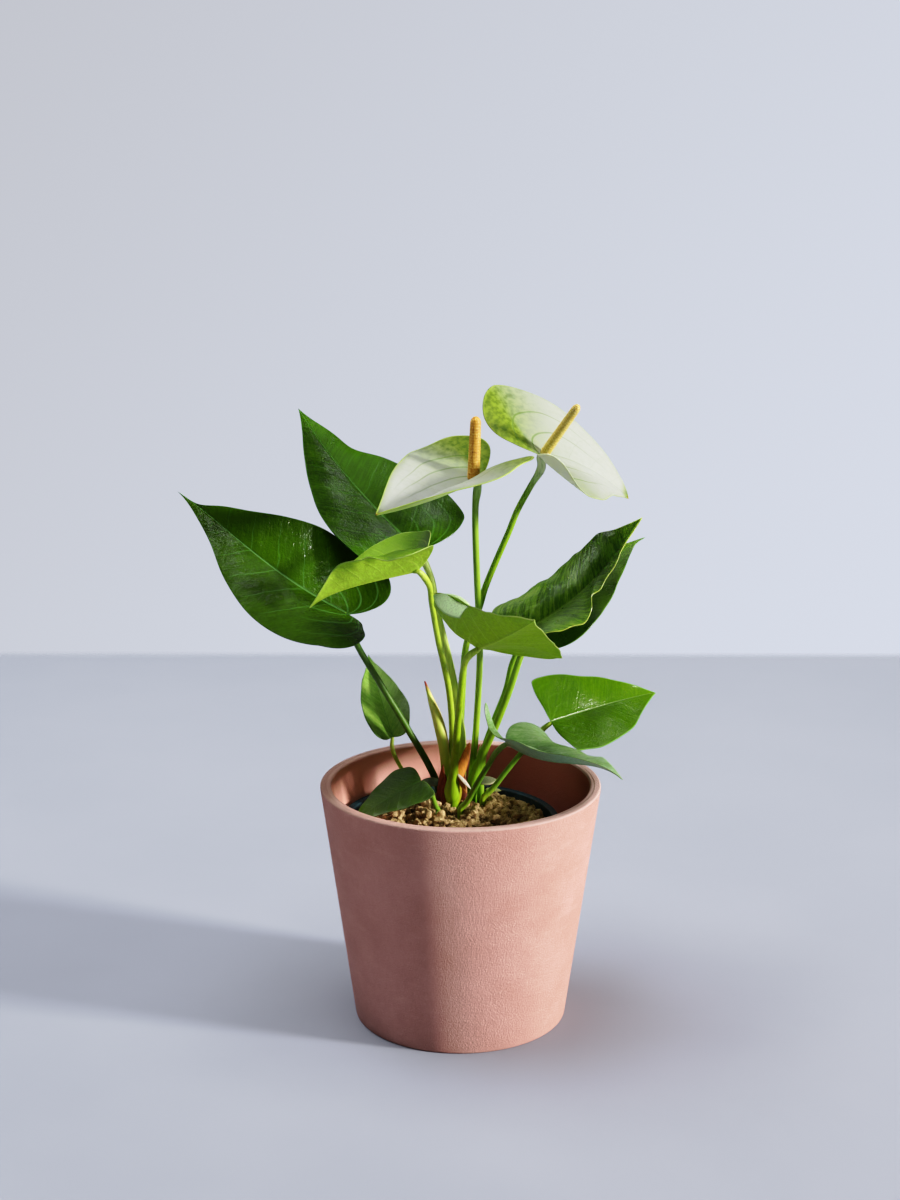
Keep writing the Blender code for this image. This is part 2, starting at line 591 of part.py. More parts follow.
def make_spadix(name, label):
    """A straight spike that is covered in florets: rings of points, raised and sunk in turn."""
    blade, spadix = BLADES[name], SPADICES[name]
    zero = np.zeros(1)
    normal = blade_normals(blade, zero + SPADIX_SEAT, zero, 1)[0]
    seat = bend(blade, zero + SPADIX_SEAT, zero, 1)[0] + normal * (BLADE_THICKNESS / 2 + GAP)
    tip = np.array(spadix.tip, float)
    ahead = (tip - seat) / np.linalg.norm(tip - seat)
    foot_radius, end_radius = spadix.radii
    start = seat + ahead * foot_radius * SPADIX_FOOT_RISE
    first = np.cross(ahead, (0.0, 1.0, 0.0))
    first /= np.linalg.norm(first)
    second = np.cross(ahead, first)
    points, faces = [], []
    for i in range(SPADIX_RINGS):
        along = i / (SPADIX_RINGS - 1)
        top_rounding = math.sqrt(max(0.09, 1 - max(0.0, (along - 0.88) / 0.12) ** 2))
        foot_rounding = min(1.0, 0.45 + along * 10)
        body = (foot_radius + (end_radius - foot_radius) * along) * top_rounding * foot_rounding
        for j in range(SPADIX_SIDES):
            raised = SPADIX_RELIEF * (1 if (i + j) % 2 else -1) * (0 < i < SPADIX_RINGS - 1)
            angle = math.tau * j / SPADIX_SIDES
            spoke = math.cos(angle) * first + math.sin(angle) * second
            points.append(start + (tip - start) * along + (body + raised) * spoke)
    for i in range(SPADIX_RINGS - 1):
        for j in range(SPADIX_SIDES):
            k = (j + 1) % SPADIX_SIDES
            low, high = i * SPADIX_SIDES, (i + 1) * SPADIX_SIDES
            if (i + j) % 2:
                faces.extend([(low + j, low + k, high + j), (low + k, high + k, high + j)])
            else:
                faces.extend([(low + j, low + k, high + k), (low + j, high + k, high + j)])
    last = (SPADIX_RINGS - 1) * SPADIX_SIDES
    points.extend([seat, tip])
    for j in range(SPADIX_SIDES):
        k = (j + 1) % SPADIX_SIDES
        faces.append((last + SPADIX_SIDES, k, j))
        faces.append((last + SPADIX_SIDES + 1, last + j, last + k))
    add_solid(label, points, faces, "spadix")


def cut_holes(body):
    """A plain round hole in the soil for each stem and for the shoot."""
    bottom, top = STEM_FOOT_Z - GAP, STEMS_STRAIGHT_FROM + SOIL_LUMP
    group = bpy.data.collections.new("hole_cutters")
    bpy.context.scene.collection.children.link(group)
    for name, stem in [*STALKS.items(), ("new_shoot", SHOOT)]:
        shape = bmesh.new()
        radius = (stem.radii[2] + GAP) / math.cos(math.pi / HOLE_SEGMENTS) * MM
        bmesh.ops.create_cone(shape, cap_ends=True, segments=HOLE_SEGMENTS, radius1=radius, radius2=radius,
                              depth=(top - bottom) * MM)
        mesh = bpy.data.meshes.new(name + "_hole")
        shape.to_mesh(mesh)
        shape.free()
        cutter = bpy.data.objects.new(name + "_hole", mesh)
        cutter.location = (stem.foot[0] * MM, stem.foot[1] * MM, (bottom + top) / 2 * MM)
        cutter.hide_render = True
        cutter.display_type = "WIRE"
        group.objects.link(cutter)
    holes = body.modifiers.new("holes", "BOOLEAN")
    holes.operation = "DIFFERENCE"
    holes.operand_type = "COLLECTION"
    holes.collection = group
    holes.solver = "EXACT"


def main():
    clear_scene()
    make_cover_pot()
    make_nursery_pot()
    cut_holes(make_soil())
    for name, blade in BLADES.items():
        if name.startswith("bloom"):
            make_blade(name + "_spathe", blade, BLADE_FINISH[name])
            make_stalk(name, name + "_stem")
            make_spadix(name, name + "_spadix")
        else:
            make_blade(name + "_blade", blade, BLADE_FINISH[name])
            make_stalk(name, name + "_petiole")
    make_shoot()


main()
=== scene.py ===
"""The potted anthurium's looks: fine leaves, blooms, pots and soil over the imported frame.

Lengths are in millimetres and angles in degrees. The stage, the lights and the camera are in metres.
The shapes follow the formulas of the part's source and nearly all of its named values, with finer meshes.
"""

import math
from dataclasses import dataclass
from types import SimpleNamespace

import bmesh
import bpy
import numpy as np
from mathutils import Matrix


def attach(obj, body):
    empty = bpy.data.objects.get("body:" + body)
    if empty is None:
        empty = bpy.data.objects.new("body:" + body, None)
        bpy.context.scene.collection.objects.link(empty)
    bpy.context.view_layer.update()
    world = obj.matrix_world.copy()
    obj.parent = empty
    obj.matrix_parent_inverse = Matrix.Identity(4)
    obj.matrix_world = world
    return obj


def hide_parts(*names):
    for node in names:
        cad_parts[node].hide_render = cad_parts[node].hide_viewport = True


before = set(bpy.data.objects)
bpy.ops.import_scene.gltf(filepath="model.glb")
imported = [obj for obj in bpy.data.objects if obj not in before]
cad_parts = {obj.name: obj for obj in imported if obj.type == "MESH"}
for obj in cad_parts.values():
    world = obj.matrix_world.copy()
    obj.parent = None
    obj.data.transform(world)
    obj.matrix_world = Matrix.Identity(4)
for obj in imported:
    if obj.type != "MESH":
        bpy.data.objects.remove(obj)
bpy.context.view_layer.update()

MM = 0.001
MERGE_DISTANCE = 1e-6

# Cover pot
POT_RIM_RADIUS = 75.0
POT_BASE_RADIUS = 57.0
POT_HEIGHT = 130.0
POT_WALL = 6.0
POT_FLOOR = 6.0
POT_ROUNDING = 1.3
POT_SEGMENTS = 256

# Nursery pot
INNER_CENTRE = (-5.6, -3.3)
INNER_RIM_RADIUS = 58.5
INNER_LIP = 2.6
INNER_LIP_DEPTH = 6.0
INNER_BASE_RADIUS = 42.0
INNER_FOOT = 6.3
INNER_RIM_Z = 111.0
INNER_WALL = 1.2
INNER_FLOOR = 2.0
INNER_ROUNDING = 0.6

# Soil
SOIL_MIDDLE_Z = 113.0
SOIL_EDGE_Z = 104.5
SOIL_LUMP = 2.4
SOIL_WAVES = 14
SOIL_WAVE_LENGTHS = (9, 22)
SOIL_SEED = 7
SMALL_LUMP = 0.9
SMALL_WAVES = 30
SMALL_WAVE_LENGTHS = (2.2, 7)
SOIL_RINGS = 90
SOIL_SEGMENTS = 240
CRUMBS = 5200
CRUMB_SIZES = (0.45, 3.7)
STEM_FOOT_Z = 104.0
STEMS_STRAIGHT_FROM = SOIL_MIDDLE_Z + 3.0

# Blades
BLADE_ROWS = 88
BLADE_COLUMNS = 22
BLADE_THICKNESS = 0.55
EDGE_ROUNDING = 0.8
ROW_CROWDING = 1.25
COLUMN_CROWDING = 0.13
RIB_STEPS = 81
RIB_BLEND = 3.0
RIB_WIDTH = 1.25
RIB_ABOVE = 0.18
RIB_BELOW = 0.95
RIB_TAPER = 0.85
VEIN_SLANT = 0.55
VEIN_BOW = 0.006
RIPPLES = 21
RIPPLE_GROUPS = 9
UNDULATION = 0.35
UNDULATIONS = 7
UNDULATION_LENGTHS = (22, 60)
SPATHE_VEIN_SPACING = 15
SPATHE_QUILT = 0.12
SPATHE_WAVE = 0.4
SLOPE_STEP = 0.05
ALMOST_FLAT = 1e-6  # in place of a bend of 0
MARGIN_STEPS = 600
CAD_GAP = 0.3

# Stalks
STALK_RUN_IN = 2.5
STALK_DEPTH = 0.9
USUAL_JOINT = 0.22
STALK_SWELLS_FROM = 0.6
STALK_SIDES = 20
STALK_RINGS = 70

SHOULDER = 0.12
HALF_HEART = [
    (-0.10, 0.0), (-0.62, 0.17), (-0.95, 0.38), (-0.98, 0.62), (-0.66, 0.84), (-0.10, 0.97),
    (SHOULDER, 1.0), (0.32, 0.87), (0.52, 0.62), (0.70, 0.35), (0.84, 0.15), (0.93, 0.05), (1.0, 0.0),
]


@dataclass(frozen=True)
class Blade:
    """A leaf blade or a spathe. Where two values are given, the first is for the left half."""

    at: tuple  # where the stalk meets it
    length: float  # from the stalk to the tip
    width: float
    lobe: float  # how far the rear lobes reach behind the stalk
    heading: float  # which way the midrib sets off, from +X towards +Y
    rise: float  # lifts the midrib
    roll: float  # lifts the left half
    fold: tuple  # lifts each half off the midrib
    curl: tuple  # adds to the fold towards the margin
    droop: float  # bends the midrib down along its length
    hook: float  # bends the tip down
    sweep: float  # bends the midrib to the left
    twist: float  # turns the blade about its midrib, towards the tip
    lobe_drop: tuple  # bends each rear lobe down
    fullness: float  # below 1, fills the outline out towards the tip
    sides: tuple  # scales the width of each half


@dataclass(frozen=True)
class Stem:
    """A petiole, a flower stem or the shoot."""

    through: list  # points from the top down
    foot: tuple  # where it stands in the soil
    radii: tuple  # at the top, in the middle and at the foot


@dataclass(frozen=True)
class Spadix:
    """The spike of a bloom, which stands on the spathe just in front of the stem."""

    tip: tuple
    radii: tuple  # low and high


BLADES = {
    "leaf_1": Blade(at=(-60.5, 0, 223), length=110, width=82, lobe=15.5, heading=170, rise=25, roll=-11,
        fold=(11, 26), curl=(-20, -10), droop=-25, hook=23, sweep=-9, twist=-51, lobe_drop=(0, 0),
        fullness=1.06, sides=(1.06, 1.01)),
    "leaf_2": Blade(at=(-22.7, 28, 250.8), length=115, width=77, lobe=5, heading=148, rise=33, roll=-26.5,
        fold=(17, 6), curl=(-1, -3), droop=3, hook=-1, sweep=-19, twist=-9, lobe_drop=(4, 4), fullness=0.93,
        sides=(1.04, 0.98)),
    "leaf_3": Blade(at=(-22.1, -24, 251.8), length=59.5, width=60.5, lobe=11.5, heading=180, rise=-13.5,
        roll=9.5, fold=(76, 47), curl=(-113, -15), droop=1, hook=30, sweep=1, twist=4, lobe_drop=(1.5, -44),
        fullness=1.09, sides=(1.02, 1)),
    "leaf_4": Blade(at=(9.3, -25, 211.2), length=76, width=76, lobe=13.5, heading=-69, rise=21, roll=-35,
        fold=(27.5, -1), curl=(-12, 34), droop=-6.5, hook=0, sweep=-1.5, twist=-3, lobe_drop=(5, -79),
        fullness=0.97, sides=(1.07, 0.99)),
    "leaf_5": Blade(at=(38, 5, 215), length=84, width=71, lobe=14.5, heading=19, rise=22, roll=28,
        fold=(20, 42.5), curl=(-78, -18), droop=-69, hook=25, sweep=-2.5, twist=2.5, lobe_drop=(7, 10),
        fullness=0.83, sides=(1.04, 1.01)),
    "leaf_6": Blade(at=(45, 20, 209), length=86, width=56.5, lobe=11, heading=42, rise=35, roll=4.5,
        fold=(-1, 13), curl=(-21, -12), droop=8, hook=15, sweep=-3, twist=9, lobe_drop=(10, 5),
        fullness=0.95, sides=(1, 1)),
    "leaf_7": Blade(at=(48.9, 13, 159.5), length=76.5, width=51.5, lobe=2, heading=35, rise=5.5, roll=39.5,
        fold=(15, 17.5), curl=(-5, -1), droop=5, hook=10, sweep=0, twist=3, lobe_drop=(10, 10),
        fullness=0.79, sides=(1, 1.1)),
    "leaf_8": Blade(at=(24.4, -20, 158.6), length=84.5, width=43, lobe=13.5, heading=-54, rise=-11, roll=-4,
        fold=(25.5, 37.5), curl=(-42, -22), droop=-50, hook=66, sweep=10, twist=0.5, lobe_drop=(0, -57),
        fullness=1.02, sides=(1.6, 1)),
    "leaf_9": Blade(at=(-37.3, 32, 145.5), length=60.5, width=36, lobe=4, heading=112, rise=40, roll=-17,
        fold=(46, 42), curl=(0, 3), droop=13.5, hook=2, sweep=-3.5, twist=-7, lobe_drop=(9, 10),
        fullness=0.93, sides=(1.02, 0.99)),
    "leaf_10": Blade(at=(-21, -12, 134.5), length=45.5, width=37, lobe=2, heading=202, rise=-19, roll=-8.5,
        fold=(6, 6), curl=(-4.5, -7), droop=14.5, hook=0, sweep=1, twist=-12, lobe_drop=(10, 10),
        fullness=1, sides=(1, 1)),
    "bloom_1": Blade(at=(8.3, 0, 294.2), length=67, width=75.5, lobe=23, heading=219, rise=-16, roll=1.5,
        fold=(36, 34), curl=(-40, -18.5), droop=-14, hook=0, sweep=2, twist=-7, lobe_drop=(15, -3),
        fullness=0.73, sides=(1.01, 1.02)),
    "bloom_2": Blade(at=(41, 4, 306.3), length=67, width=86, lobe=21, heading=50, rise=-8.5, roll=27,
        fold=(19, 4), curl=(-3, -7), droop=18, hook=2, sweep=-45, twist=-1, lobe_drop=(36, -68),
        fullness=0.6, sides=(1.13, 0.99)),
}

LEFT, RIGHT = 0, 1


@dataclass(frozen=True)
class Dent:
    """A stretch of a blade's margin that runs in or out, or waves up or down, in millimetres."""

    half: int
    at: float  # along the margin, from 0 at the stalk to 1 at the tip
    reach: float
    out: float = 0.0
    lift: float = 0.0
    ahead: float = 0.0


DENTS = {
    "leaf_1": [Dent(LEFT, 0.042, 0.034, out=-3.2, ahead=-2.4), Dent(LEFT, 0.11, 0.05, out=-1.0, ahead=-1.4),
        Dent(LEFT, 0.80, 0.08, out=-1.6), Dent(RIGHT, 0.42, 0.09, out=-2.6),
        Dent(RIGHT, 0.66, 0.08, out=0.8), Dent(RIGHT, 0.92, 0.05, out=-2.6)],
    "leaf_2": [Dent(LEFT, 0.33, 0.08, out=-4.5), Dent(RIGHT, 0.25, 0.08, out=-1.6),
        Dent(RIGHT, 0.73, 0.08, out=-3.2, lift=-2.1)],
    "leaf_3": [Dent(LEFT, 0.74, 0.10, lift=2.4), Dent(LEFT, 0.56, 0.035, lift=1.4),
        Dent(LEFT, 0.47, 0.03, lift=-0.8), Dent(RIGHT, 0.13, 0.05, ahead=3.0)],
    "leaf_4": [Dent(LEFT, 0.29, 0.08, lift=1.9), Dent(LEFT, 0.46, 0.03, out=1.4, lift=-0.6),
        Dent(LEFT, 0.61, 0.04, out=-1.6), Dent(RIGHT, 0.33, 0.08, out=-1.2, ahead=6.0),
        Dent(RIGHT, 0.60, 0.05, out=1.6), Dent(RIGHT, 0.655, 0.025, out=-1.6),
        Dent(RIGHT, 0.72, 0.04, out=-2.6), Dent(RIGHT, 0.90, 0.07, out=0.8, lift=1.5)],
    "leaf_5": [Dent(LEFT, 0.43, 0.03, lift=1.5), Dent(LEFT, 0.51, 0.04, lift=-1.6),
        Dent(LEFT, 0.63, 0.025, out=1.0, lift=0.8), Dent(LEFT, 0.80, 0.05, out=1.6, lift=1.7),
        Dent(RIGHT, 0.62, 0.035, lift=4.5), Dent(RIGHT, 0.50, 0.05, out=2.0, lift=-3.0),
        Dent(RIGHT, 0.30, 0.08, lift=2.6), Dent(RIGHT, 0.78, 0.05, lift=-1.2)],
    "leaf_6": [Dent(RIGHT, 0.92, 0.05, out=-1.4), Dent(RIGHT, 0.50, 0.06, out=-1.4)],
    "leaf_7": [Dent(LEFT, 0.10, 0.06, out=-1.0, ahead=1.5), Dent(LEFT, 0.50, 0.10, out=-2.0),
        Dent(RIGHT, 0.28, 0.06, out=-2.4), Dent(RIGHT, 0.62, 0.12, out=2.3)],
    "leaf_8": [Dent(LEFT, 0.25, 0.08, out=1.5, lift=3.2), Dent(RIGHT, 0.14, 0.045, ahead=-7.0),
        Dent(RIGHT, 0.27, 0.09, out=-6.0), Dent(RIGHT, 0.47, 0.09, lift=3.0),
        Dent(RIGHT, 0.20, 0.05, out=-3.0), Dent(LEFT, 0.66, 0.14, lift=-3.4)],
    "leaf_9": [Dent(LEFT, 0.24, 0.08, out=-3.2), Dent(RIGHT, 0.22, 0.08, out=-3.0)],
    "leaf_10": [Dent(RIGHT, 0.26, 0.08, out=-2.2)],
    "bloom_1": [Dent(RIGHT, 0.60, 0.06, out=-1.3)],
}

STALKS = {
    "leaf_1": Stem(through=[(-54.9, 8, 203.8), (-41.5, 14, 178), (-27.9, 19, 152.5), (-15.5, 23, 128)],
        foot=(-11.5, 24), radii=(1.6, 1.8, 2.1)),
    "leaf_2": Stem(through=[(-16.1, 27, 236.4), (-12.8, 26, 218), (-8.6, 25, 200.4), (-4.6, 24.5, 182.3),
        (-1.9, 24, 165.6), (0.2, 23.3, 140)], foot=(0.5, 23), radii=(1.6, 2.3, 3.1)),
    "leaf_3": Stem(through=[(-16.4, -19, 242.9), (-15.1, -12, 231.8), (-13.4, -8, 220), (-11.5, -4, 208),
        (-9.4, 0, 197.6), (-6.2, 8.5, 178.5), (-4.6, 15, 157), (-4.6, 19.5, 136)], foot=(-4.8, 21.5),
        radii=(1.4, 1.7, 2.2)),
    "leaf_4": Stem(through=[(3.8, -24, 206), (1.7, -21, 200), (-0.2, -12, 180.5), (-1.1, -8, 170),
        (-2.2, -1, 153.5), (-3.6, 6, 136.5), (-4, 10, 122)], foot=(-4, 11), radii=(1.5, 2.0, 4.5)),
    "leaf_5": Stem(through=[(31.7, 8.5, 197), (26.4, 12, 178.5), (19.3, 15, 158), (11.1, 17, 138),
        (6.8, 17.5, 124)], foot=(5.8, 17.5), radii=(1.6, 2.1, 3.7)),
    "leaf_6": Stem(through=[(33, 21.5, 200), (28, 22.5, 190), (24.5, 24, 174), (19, 25, 158.5),
        (13, 25.5, 140), (11.2, 25.5, 125)], foot=(11, 25.5), radii=(1.5, 1.8, 2.0)),
    "leaf_7": Stem(through=[(44.5, 13.5, 155.6), (35.4, 13.5, 145.3), (24.6, 13, 131.6), (17.4, 12.7, 122)],
        foot=(12, 12.7), radii=(1.2, 1.5, 1.8)),
    "leaf_8": Stem(through=[(18.9, -17.5, 152.7), (15, -13.5, 144.6), (11, -10, 136.5), (7, -7, 128),
        (3.4, -5, 120.5)], foot=(0, -4), radii=(1.2, 1.6, 1.9)),
    "leaf_9": Stem(through=[(-37.6, 31, 140.5), (-36.2, 30, 135.4), (-32.6, 27, 129), (-26.4, 21.5, 121.5)],
        foot=(-20.5, 17), radii=(0.9, 1.2, 1.4)),
    "leaf_10": Stem(through=[(-17.8, -11, 131.4), (-15.2, -9, 126), (-13.1, -6, 118.5)], foot=(-12, -4.6),
        radii=(1.1, 1.3, 1.5)),
    "bloom_1": Stem(through=[(7.6, 4, 280), (7.6, 5.5, 266.4), (8.6, 10, 238.5), (9.4, 13, 221.3),
        (10.3, 17, 198), (8.3, 25, 150), (6.6, 27, 130)], foot=(5.6, 27.5), radii=(1.7, 1.75, 1.9)),
    "bloom_2": Stem(through=[(41.6, 4, 300), (36.2, 6, 289.5), (29.6, 9, 276.3), (25.1, 11.5, 264),
        (18, 15.5, 246), (12.7, 18.5, 231.5), (10.2, 20, 222), (4.2, 24, 203.8), (2.4, 25.5, 195),
        (0.8, 29, 168), (-0.2, 30, 144)], foot=(-0.5, 30), radii=(1.6, 1.8, 1.9)),
}

# How much thicker a stalk's joint under the blade is, where it isn't the usual share.
JOINTS = {"bloom_2": 0.45, "bloom_1": 0.3}
# Swollen sheaths low on a stalk: height, reach and how much thicker.
SHEATHS = {
    "leaf_2": [(149, 9, 0.8), (112, 12, -0.9)],
    "leaf_4": [(121.5, 7, 1.6), (110, 5, -2.4)],
    "leaf_5": [(127, 9, 0.5), (109, 7, -0.6)],
}

SPADICES = {
    "bloom_1": Spadix(tip=(7.6, -2, 327), radii=(3.2, 2.7)),
    "bloom_2": Spadix(tip=(59.3, -12, 334.3), radii=(2.7, 2.2)),
}
SPADIX_SEAT = 2.5
SPADIX_SIDES = 56
SPADIX_RINGS = 150
FLORETS_ROUND = 9
FLORET_PITCH = 1.45
FLORET_RELIEF = 0.07

SHOOT = Stem(through=[(-19.2, 16, 181.4), (-15.9, 16, 171), (-12.3, 16.5, 159.5), (-9.2, 17, 145),
                      (-8, 17, 130)],
             foot=(-7.8, 17), radii=(0.35, 2.6, 2.4))


@dataclass(frozen=True)
class LeafLook:
    """A leaf's colours, as linear red, green and blue, and the size of its veins. Some of its light colours
    hold painted light.
    """

    slot: str
    dark: tuple  # upper face
    light: tuple
    under: tuple
    vein: tuple
    rim: tuple
    vein_spacing: float
    # Painted light: the share of each half that is painted in the light colour, beyond the random mottle,
    # and where along the midrib that starts.
    painted_light_half: tuple = (0.0, 0.0)  # how far each half turns to the light colour
    painted_light_from: float = 0.15  # where that starts, as a share of the midrib
    vein_share: float = 0.45
    roughness: float = 0.24
    quilt: float = 0.35  # how far it swells between veins
    wave: float = 0.5  # how far the margin waves up and down
    crinkle: float = 0.13
    streaks: float = 0.25  # light and dark streaks along the veins
    seed: int = 1


DARK_UNDER = (0.06, 0.16, 0.02)
# Where a leaf turns part of a half to its light colour, that is painted light where light falls on the
# half, or painted light over shade cast on it.
LOOKS = {
    # Leaf 1's upper half turns light from near its stalk: painted light over the shade that leaves 2 and 3
    # cast there.
    "leaf_1": LeafLook("leaf_dark", dark=(0.018, 0.042, 0.001), light=(0.046, 0.110, 0.002),
        under=DARK_UNDER, vein=(0.09, 0.22, 0.06), rim=(0.05, 0.13, 0.01), vein_spacing=17, vein_share=0.6,
        painted_light_half=(0, 0.9), painted_light_from=-0.1, roughness=0.17, crinkle=0.45, seed=11),
    "leaf_2": LeafLook("leaf_dark", dark=(0.013, 0.034, 0.001), light=(0.068, 0.175, 0.001),
        under=DARK_UNDER, vein=(0.10, 0.27, 0.04), rim=(0.04, 0.12, 0.01), vein_spacing=18,
        painted_light_half=(0, 0.8), roughness=0.17, seed=12),
    "leaf_3": LeafLook("leaf_young", dark=(0.12, 0.25, 0.006), light=(0.19, 0.36, 0.01),
        under=(0.40, 0.64, 0.045), vein=(0.52, 0.70, 0.10), rim=(0.40, 0.55, 0.14), vein_spacing=11,
        roughness=0.5, seed=13),
    "leaf_4": LeafLook("leaf_fresh", dark=(0.07, 0.17, 0.06), light=(0.13, 0.26, 0.09),
        under=(0.36, 0.58, 0.010), vein=(0.56, 0.74, 0.14), rim=(0.50, 0.60, 0.18), vein_spacing=12,
        vein_share=0.5, roughness=0.38, seed=14),
    "leaf_5": LeafLook("leaf_dark", dark=(0.075, 0.18, 0.006), light=(0.34, 0.56, 0.05), under=DARK_UNDER,
        vein=(0.42, 0.58, 0.14), rim=(0.55, 0.66, 0.12), vein_spacing=9, quilt=0.5, wave=1.3, crinkle=0.4,
        streaks=0.7, seed=15),
    "leaf_6": LeafLook("leaf_dark", dark=(0.065, 0.14, 0.005), light=(0.13, 0.24, 0.02),
        under=(0.035, 0.11, 0.010), vein=(0.08, 0.2, 0.03), rim=(0.12, 0.25, 0.03), vein_spacing=13,
        wave=0.9, seed=16),
    "leaf_7": LeafLook("leaf_fresh", dark=(0.055, 0.13, 0.001), light=(0.11, 0.23, 0.004),
        under=(0.09, 0.25, 0.02), vein=(0.15, 0.31, 0.03), rim=(0.2, 0.42, 0.08), vein_spacing=11,
        vein_share=0.25, roughness=0.16, quilt=0.2, crinkle=0.2, seed=17),
    # Leaf 8's light colour and underside are pale and silvery: a painted sheen on its far half.
    "leaf_8": LeafLook("leaf_fresh", dark=(0.10, 0.22, 0.03), light=(0.42, 0.58, 0.36),
        under=(0.30, 0.46, 0.30), vein=(0.22, 0.38, 0.14), rim=(0.3, 0.45, 0.15), vein_spacing=10,
        painted_light_half=(0, 0.9), roughness=0.3, seed=18),
    "leaf_9": LeafLook("leaf_fresh", dark=(0.13, 0.26, 0.03), light=(0.40, 0.60, 0.16),
        under=(0.06, 0.2, 0.02), vein=(0.2, 0.38, 0.1), rim=(0.12, 0.25, 0.05), vein_spacing=9,
        painted_light_half=(0, 0.7), roughness=0.3, seed=19),
    "leaf_10": LeafLook("leaf_dark", dark=(0.055, 0.12, 0.004), light=(0.10, 0.19, 0.012),
        under=(0.05, 0.13, 0.02), vein=(0.13, 0.26, 0.06), rim=(0.12, 0.2, 0.05), vein_spacing=8,
        roughness=0.3, crinkle=0.3, seed=20),
}


@dataclass(frozen=True)
class SpatheLook:
    """A spathe's green parts and its spadix's colours."""

    green: tuple  # how far each half's rear lobe is green, the left half first
    veins: tuple  # where the long veins run, as shares from the midrib to the margin
    under: tuple  # the underside's colour
    rim_green: float
    seed: int
    spadix: tuple  # pale, deep and brown
    speckle: float  # how many florets are brown


SPATHE_LOOKS = {
    "bloom_1": SpatheLook(green=(0.9, 1.0), veins=(0.2, 0.4, 0.62), under=(0.25, 0.36, 0.09), rim_green=0.9,
        seed=31, speckle=0.9, spadix=((0.80, 0.52, 0.13), (0.60, 0.29, 0.035), (0.34, 0.12, 0.015))),
    # Bloom 2's underside is near white and lighter than its upper face: painted light over the shade it
    # lies in.
    "bloom_2": SpatheLook(green=(1.0, 0.4), veins=(0.34, 0.62), under=(0.92, 0.94, 0.80), rim_green=0.35,
        seed=32, speckle=0.3, spadix=((0.82, 0.68, 0.26), (0.62, 0.45, 0.09), (0.50, 0.30, 0.03))),
}


# How light goes through living tissue: how much of it, how far each colour goes, and the scale in metres.
LEAF_FLESH = {"Subsurface Weight": 0.15, "Subsurface Radius": (0.6, 1.2, 0.2), "Subsurface Scale": 0.001}
SPATHE_FLESH = {"Subsurface Weight": 0.3, "Subsurface Radius": (1.0, 1.0, 0.6), "Subsurface Scale": 0.0015}
SPADIX_FLESH = {"Subsurface Weight": 0.2, "Subsurface Radius": (1.0, 0.6, 0.2), "Subsurface Scale": 0.001}

STALK_GREEN = (0.40, 0.62, 0.03)
STALK_DARK = (0.22, 0.42, 0.02)
STALK_PALE = (0.54, 0.72, 0.10)
STALK_COLOURS = {
    "leaf_1": (STALK_GREEN, (0.08, 0.18, 0.012), (0.05, 0.12, 0.01)),
    # Leaf 2's stalk is paler and brighter than the others: partly its own colour, partly painted light over
    # the shade of leaf 3.
    "leaf_2": ((0.66, 0.80, 0.26), (0.60, 0.80, 0.14), (0.56, 0.80, 0.10)),
    "leaf_3": (STALK_PALE, (0.40, 0.58, 0.05), (0.36, 0.56, 0.04)),
    "leaf_4": (STALK_PALE, (0.32, 0.52, 0.02), (0.34, 0.62, 0.02)),
    "leaf_5": (STALK_PALE, (0.26, 0.46, 0.025), (0.16, 0.40, 0.012)),
    "leaf_6": (STALK_PALE, STALK_DARK, STALK_DARK),
    "leaf_7": (STALK_PALE, (0.16, 0.32, 0.03), STALK_GREEN),
    "leaf_8": ((0.24, 0.40, 0.08), (0.12, 0.26, 0.02), STALK_GREEN),
    "leaf_9": (STALK_PALE, STALK_GREEN, STALK_DARK),
    "leaf_10": ((0.20, 0.38, 0.04), (0.18, 0.36, 0.03), STALK_GREEN),
    "bloom_1": ((0.40, 0.55, 0.18), (0.30, 0.50, 0.05), STALK_GREEN),
    # Bloom 2's stem is pale at the top: partly its own colour, partly painted light over the shade there.
    "bloom_2": ((0.80, 0.86, 0.60), (0.28, 0.48, 0.03), STALK_GREEN),
}
BLUSHES = {"leaf_4": 0.6}  # how far the low part of a stalk reddens on its right side


@dataclass(frozen=True)
class Scale:
    """A dry sheath, a small dead leaf or a scrap: a pointed or round sheet of tissue."""

    base: tuple
    tip: tuple
    facing: tuple  # which way its back looks
    width: float
    wrap: float  # how many degrees it curls across
    bow: float  # how far its middle stands out
    start: float  # 0 for a round or pointed base, towards 1 for a wide one
    colours: tuple  # at the base, at the tip and at the edge
    slot: str = "stalk"


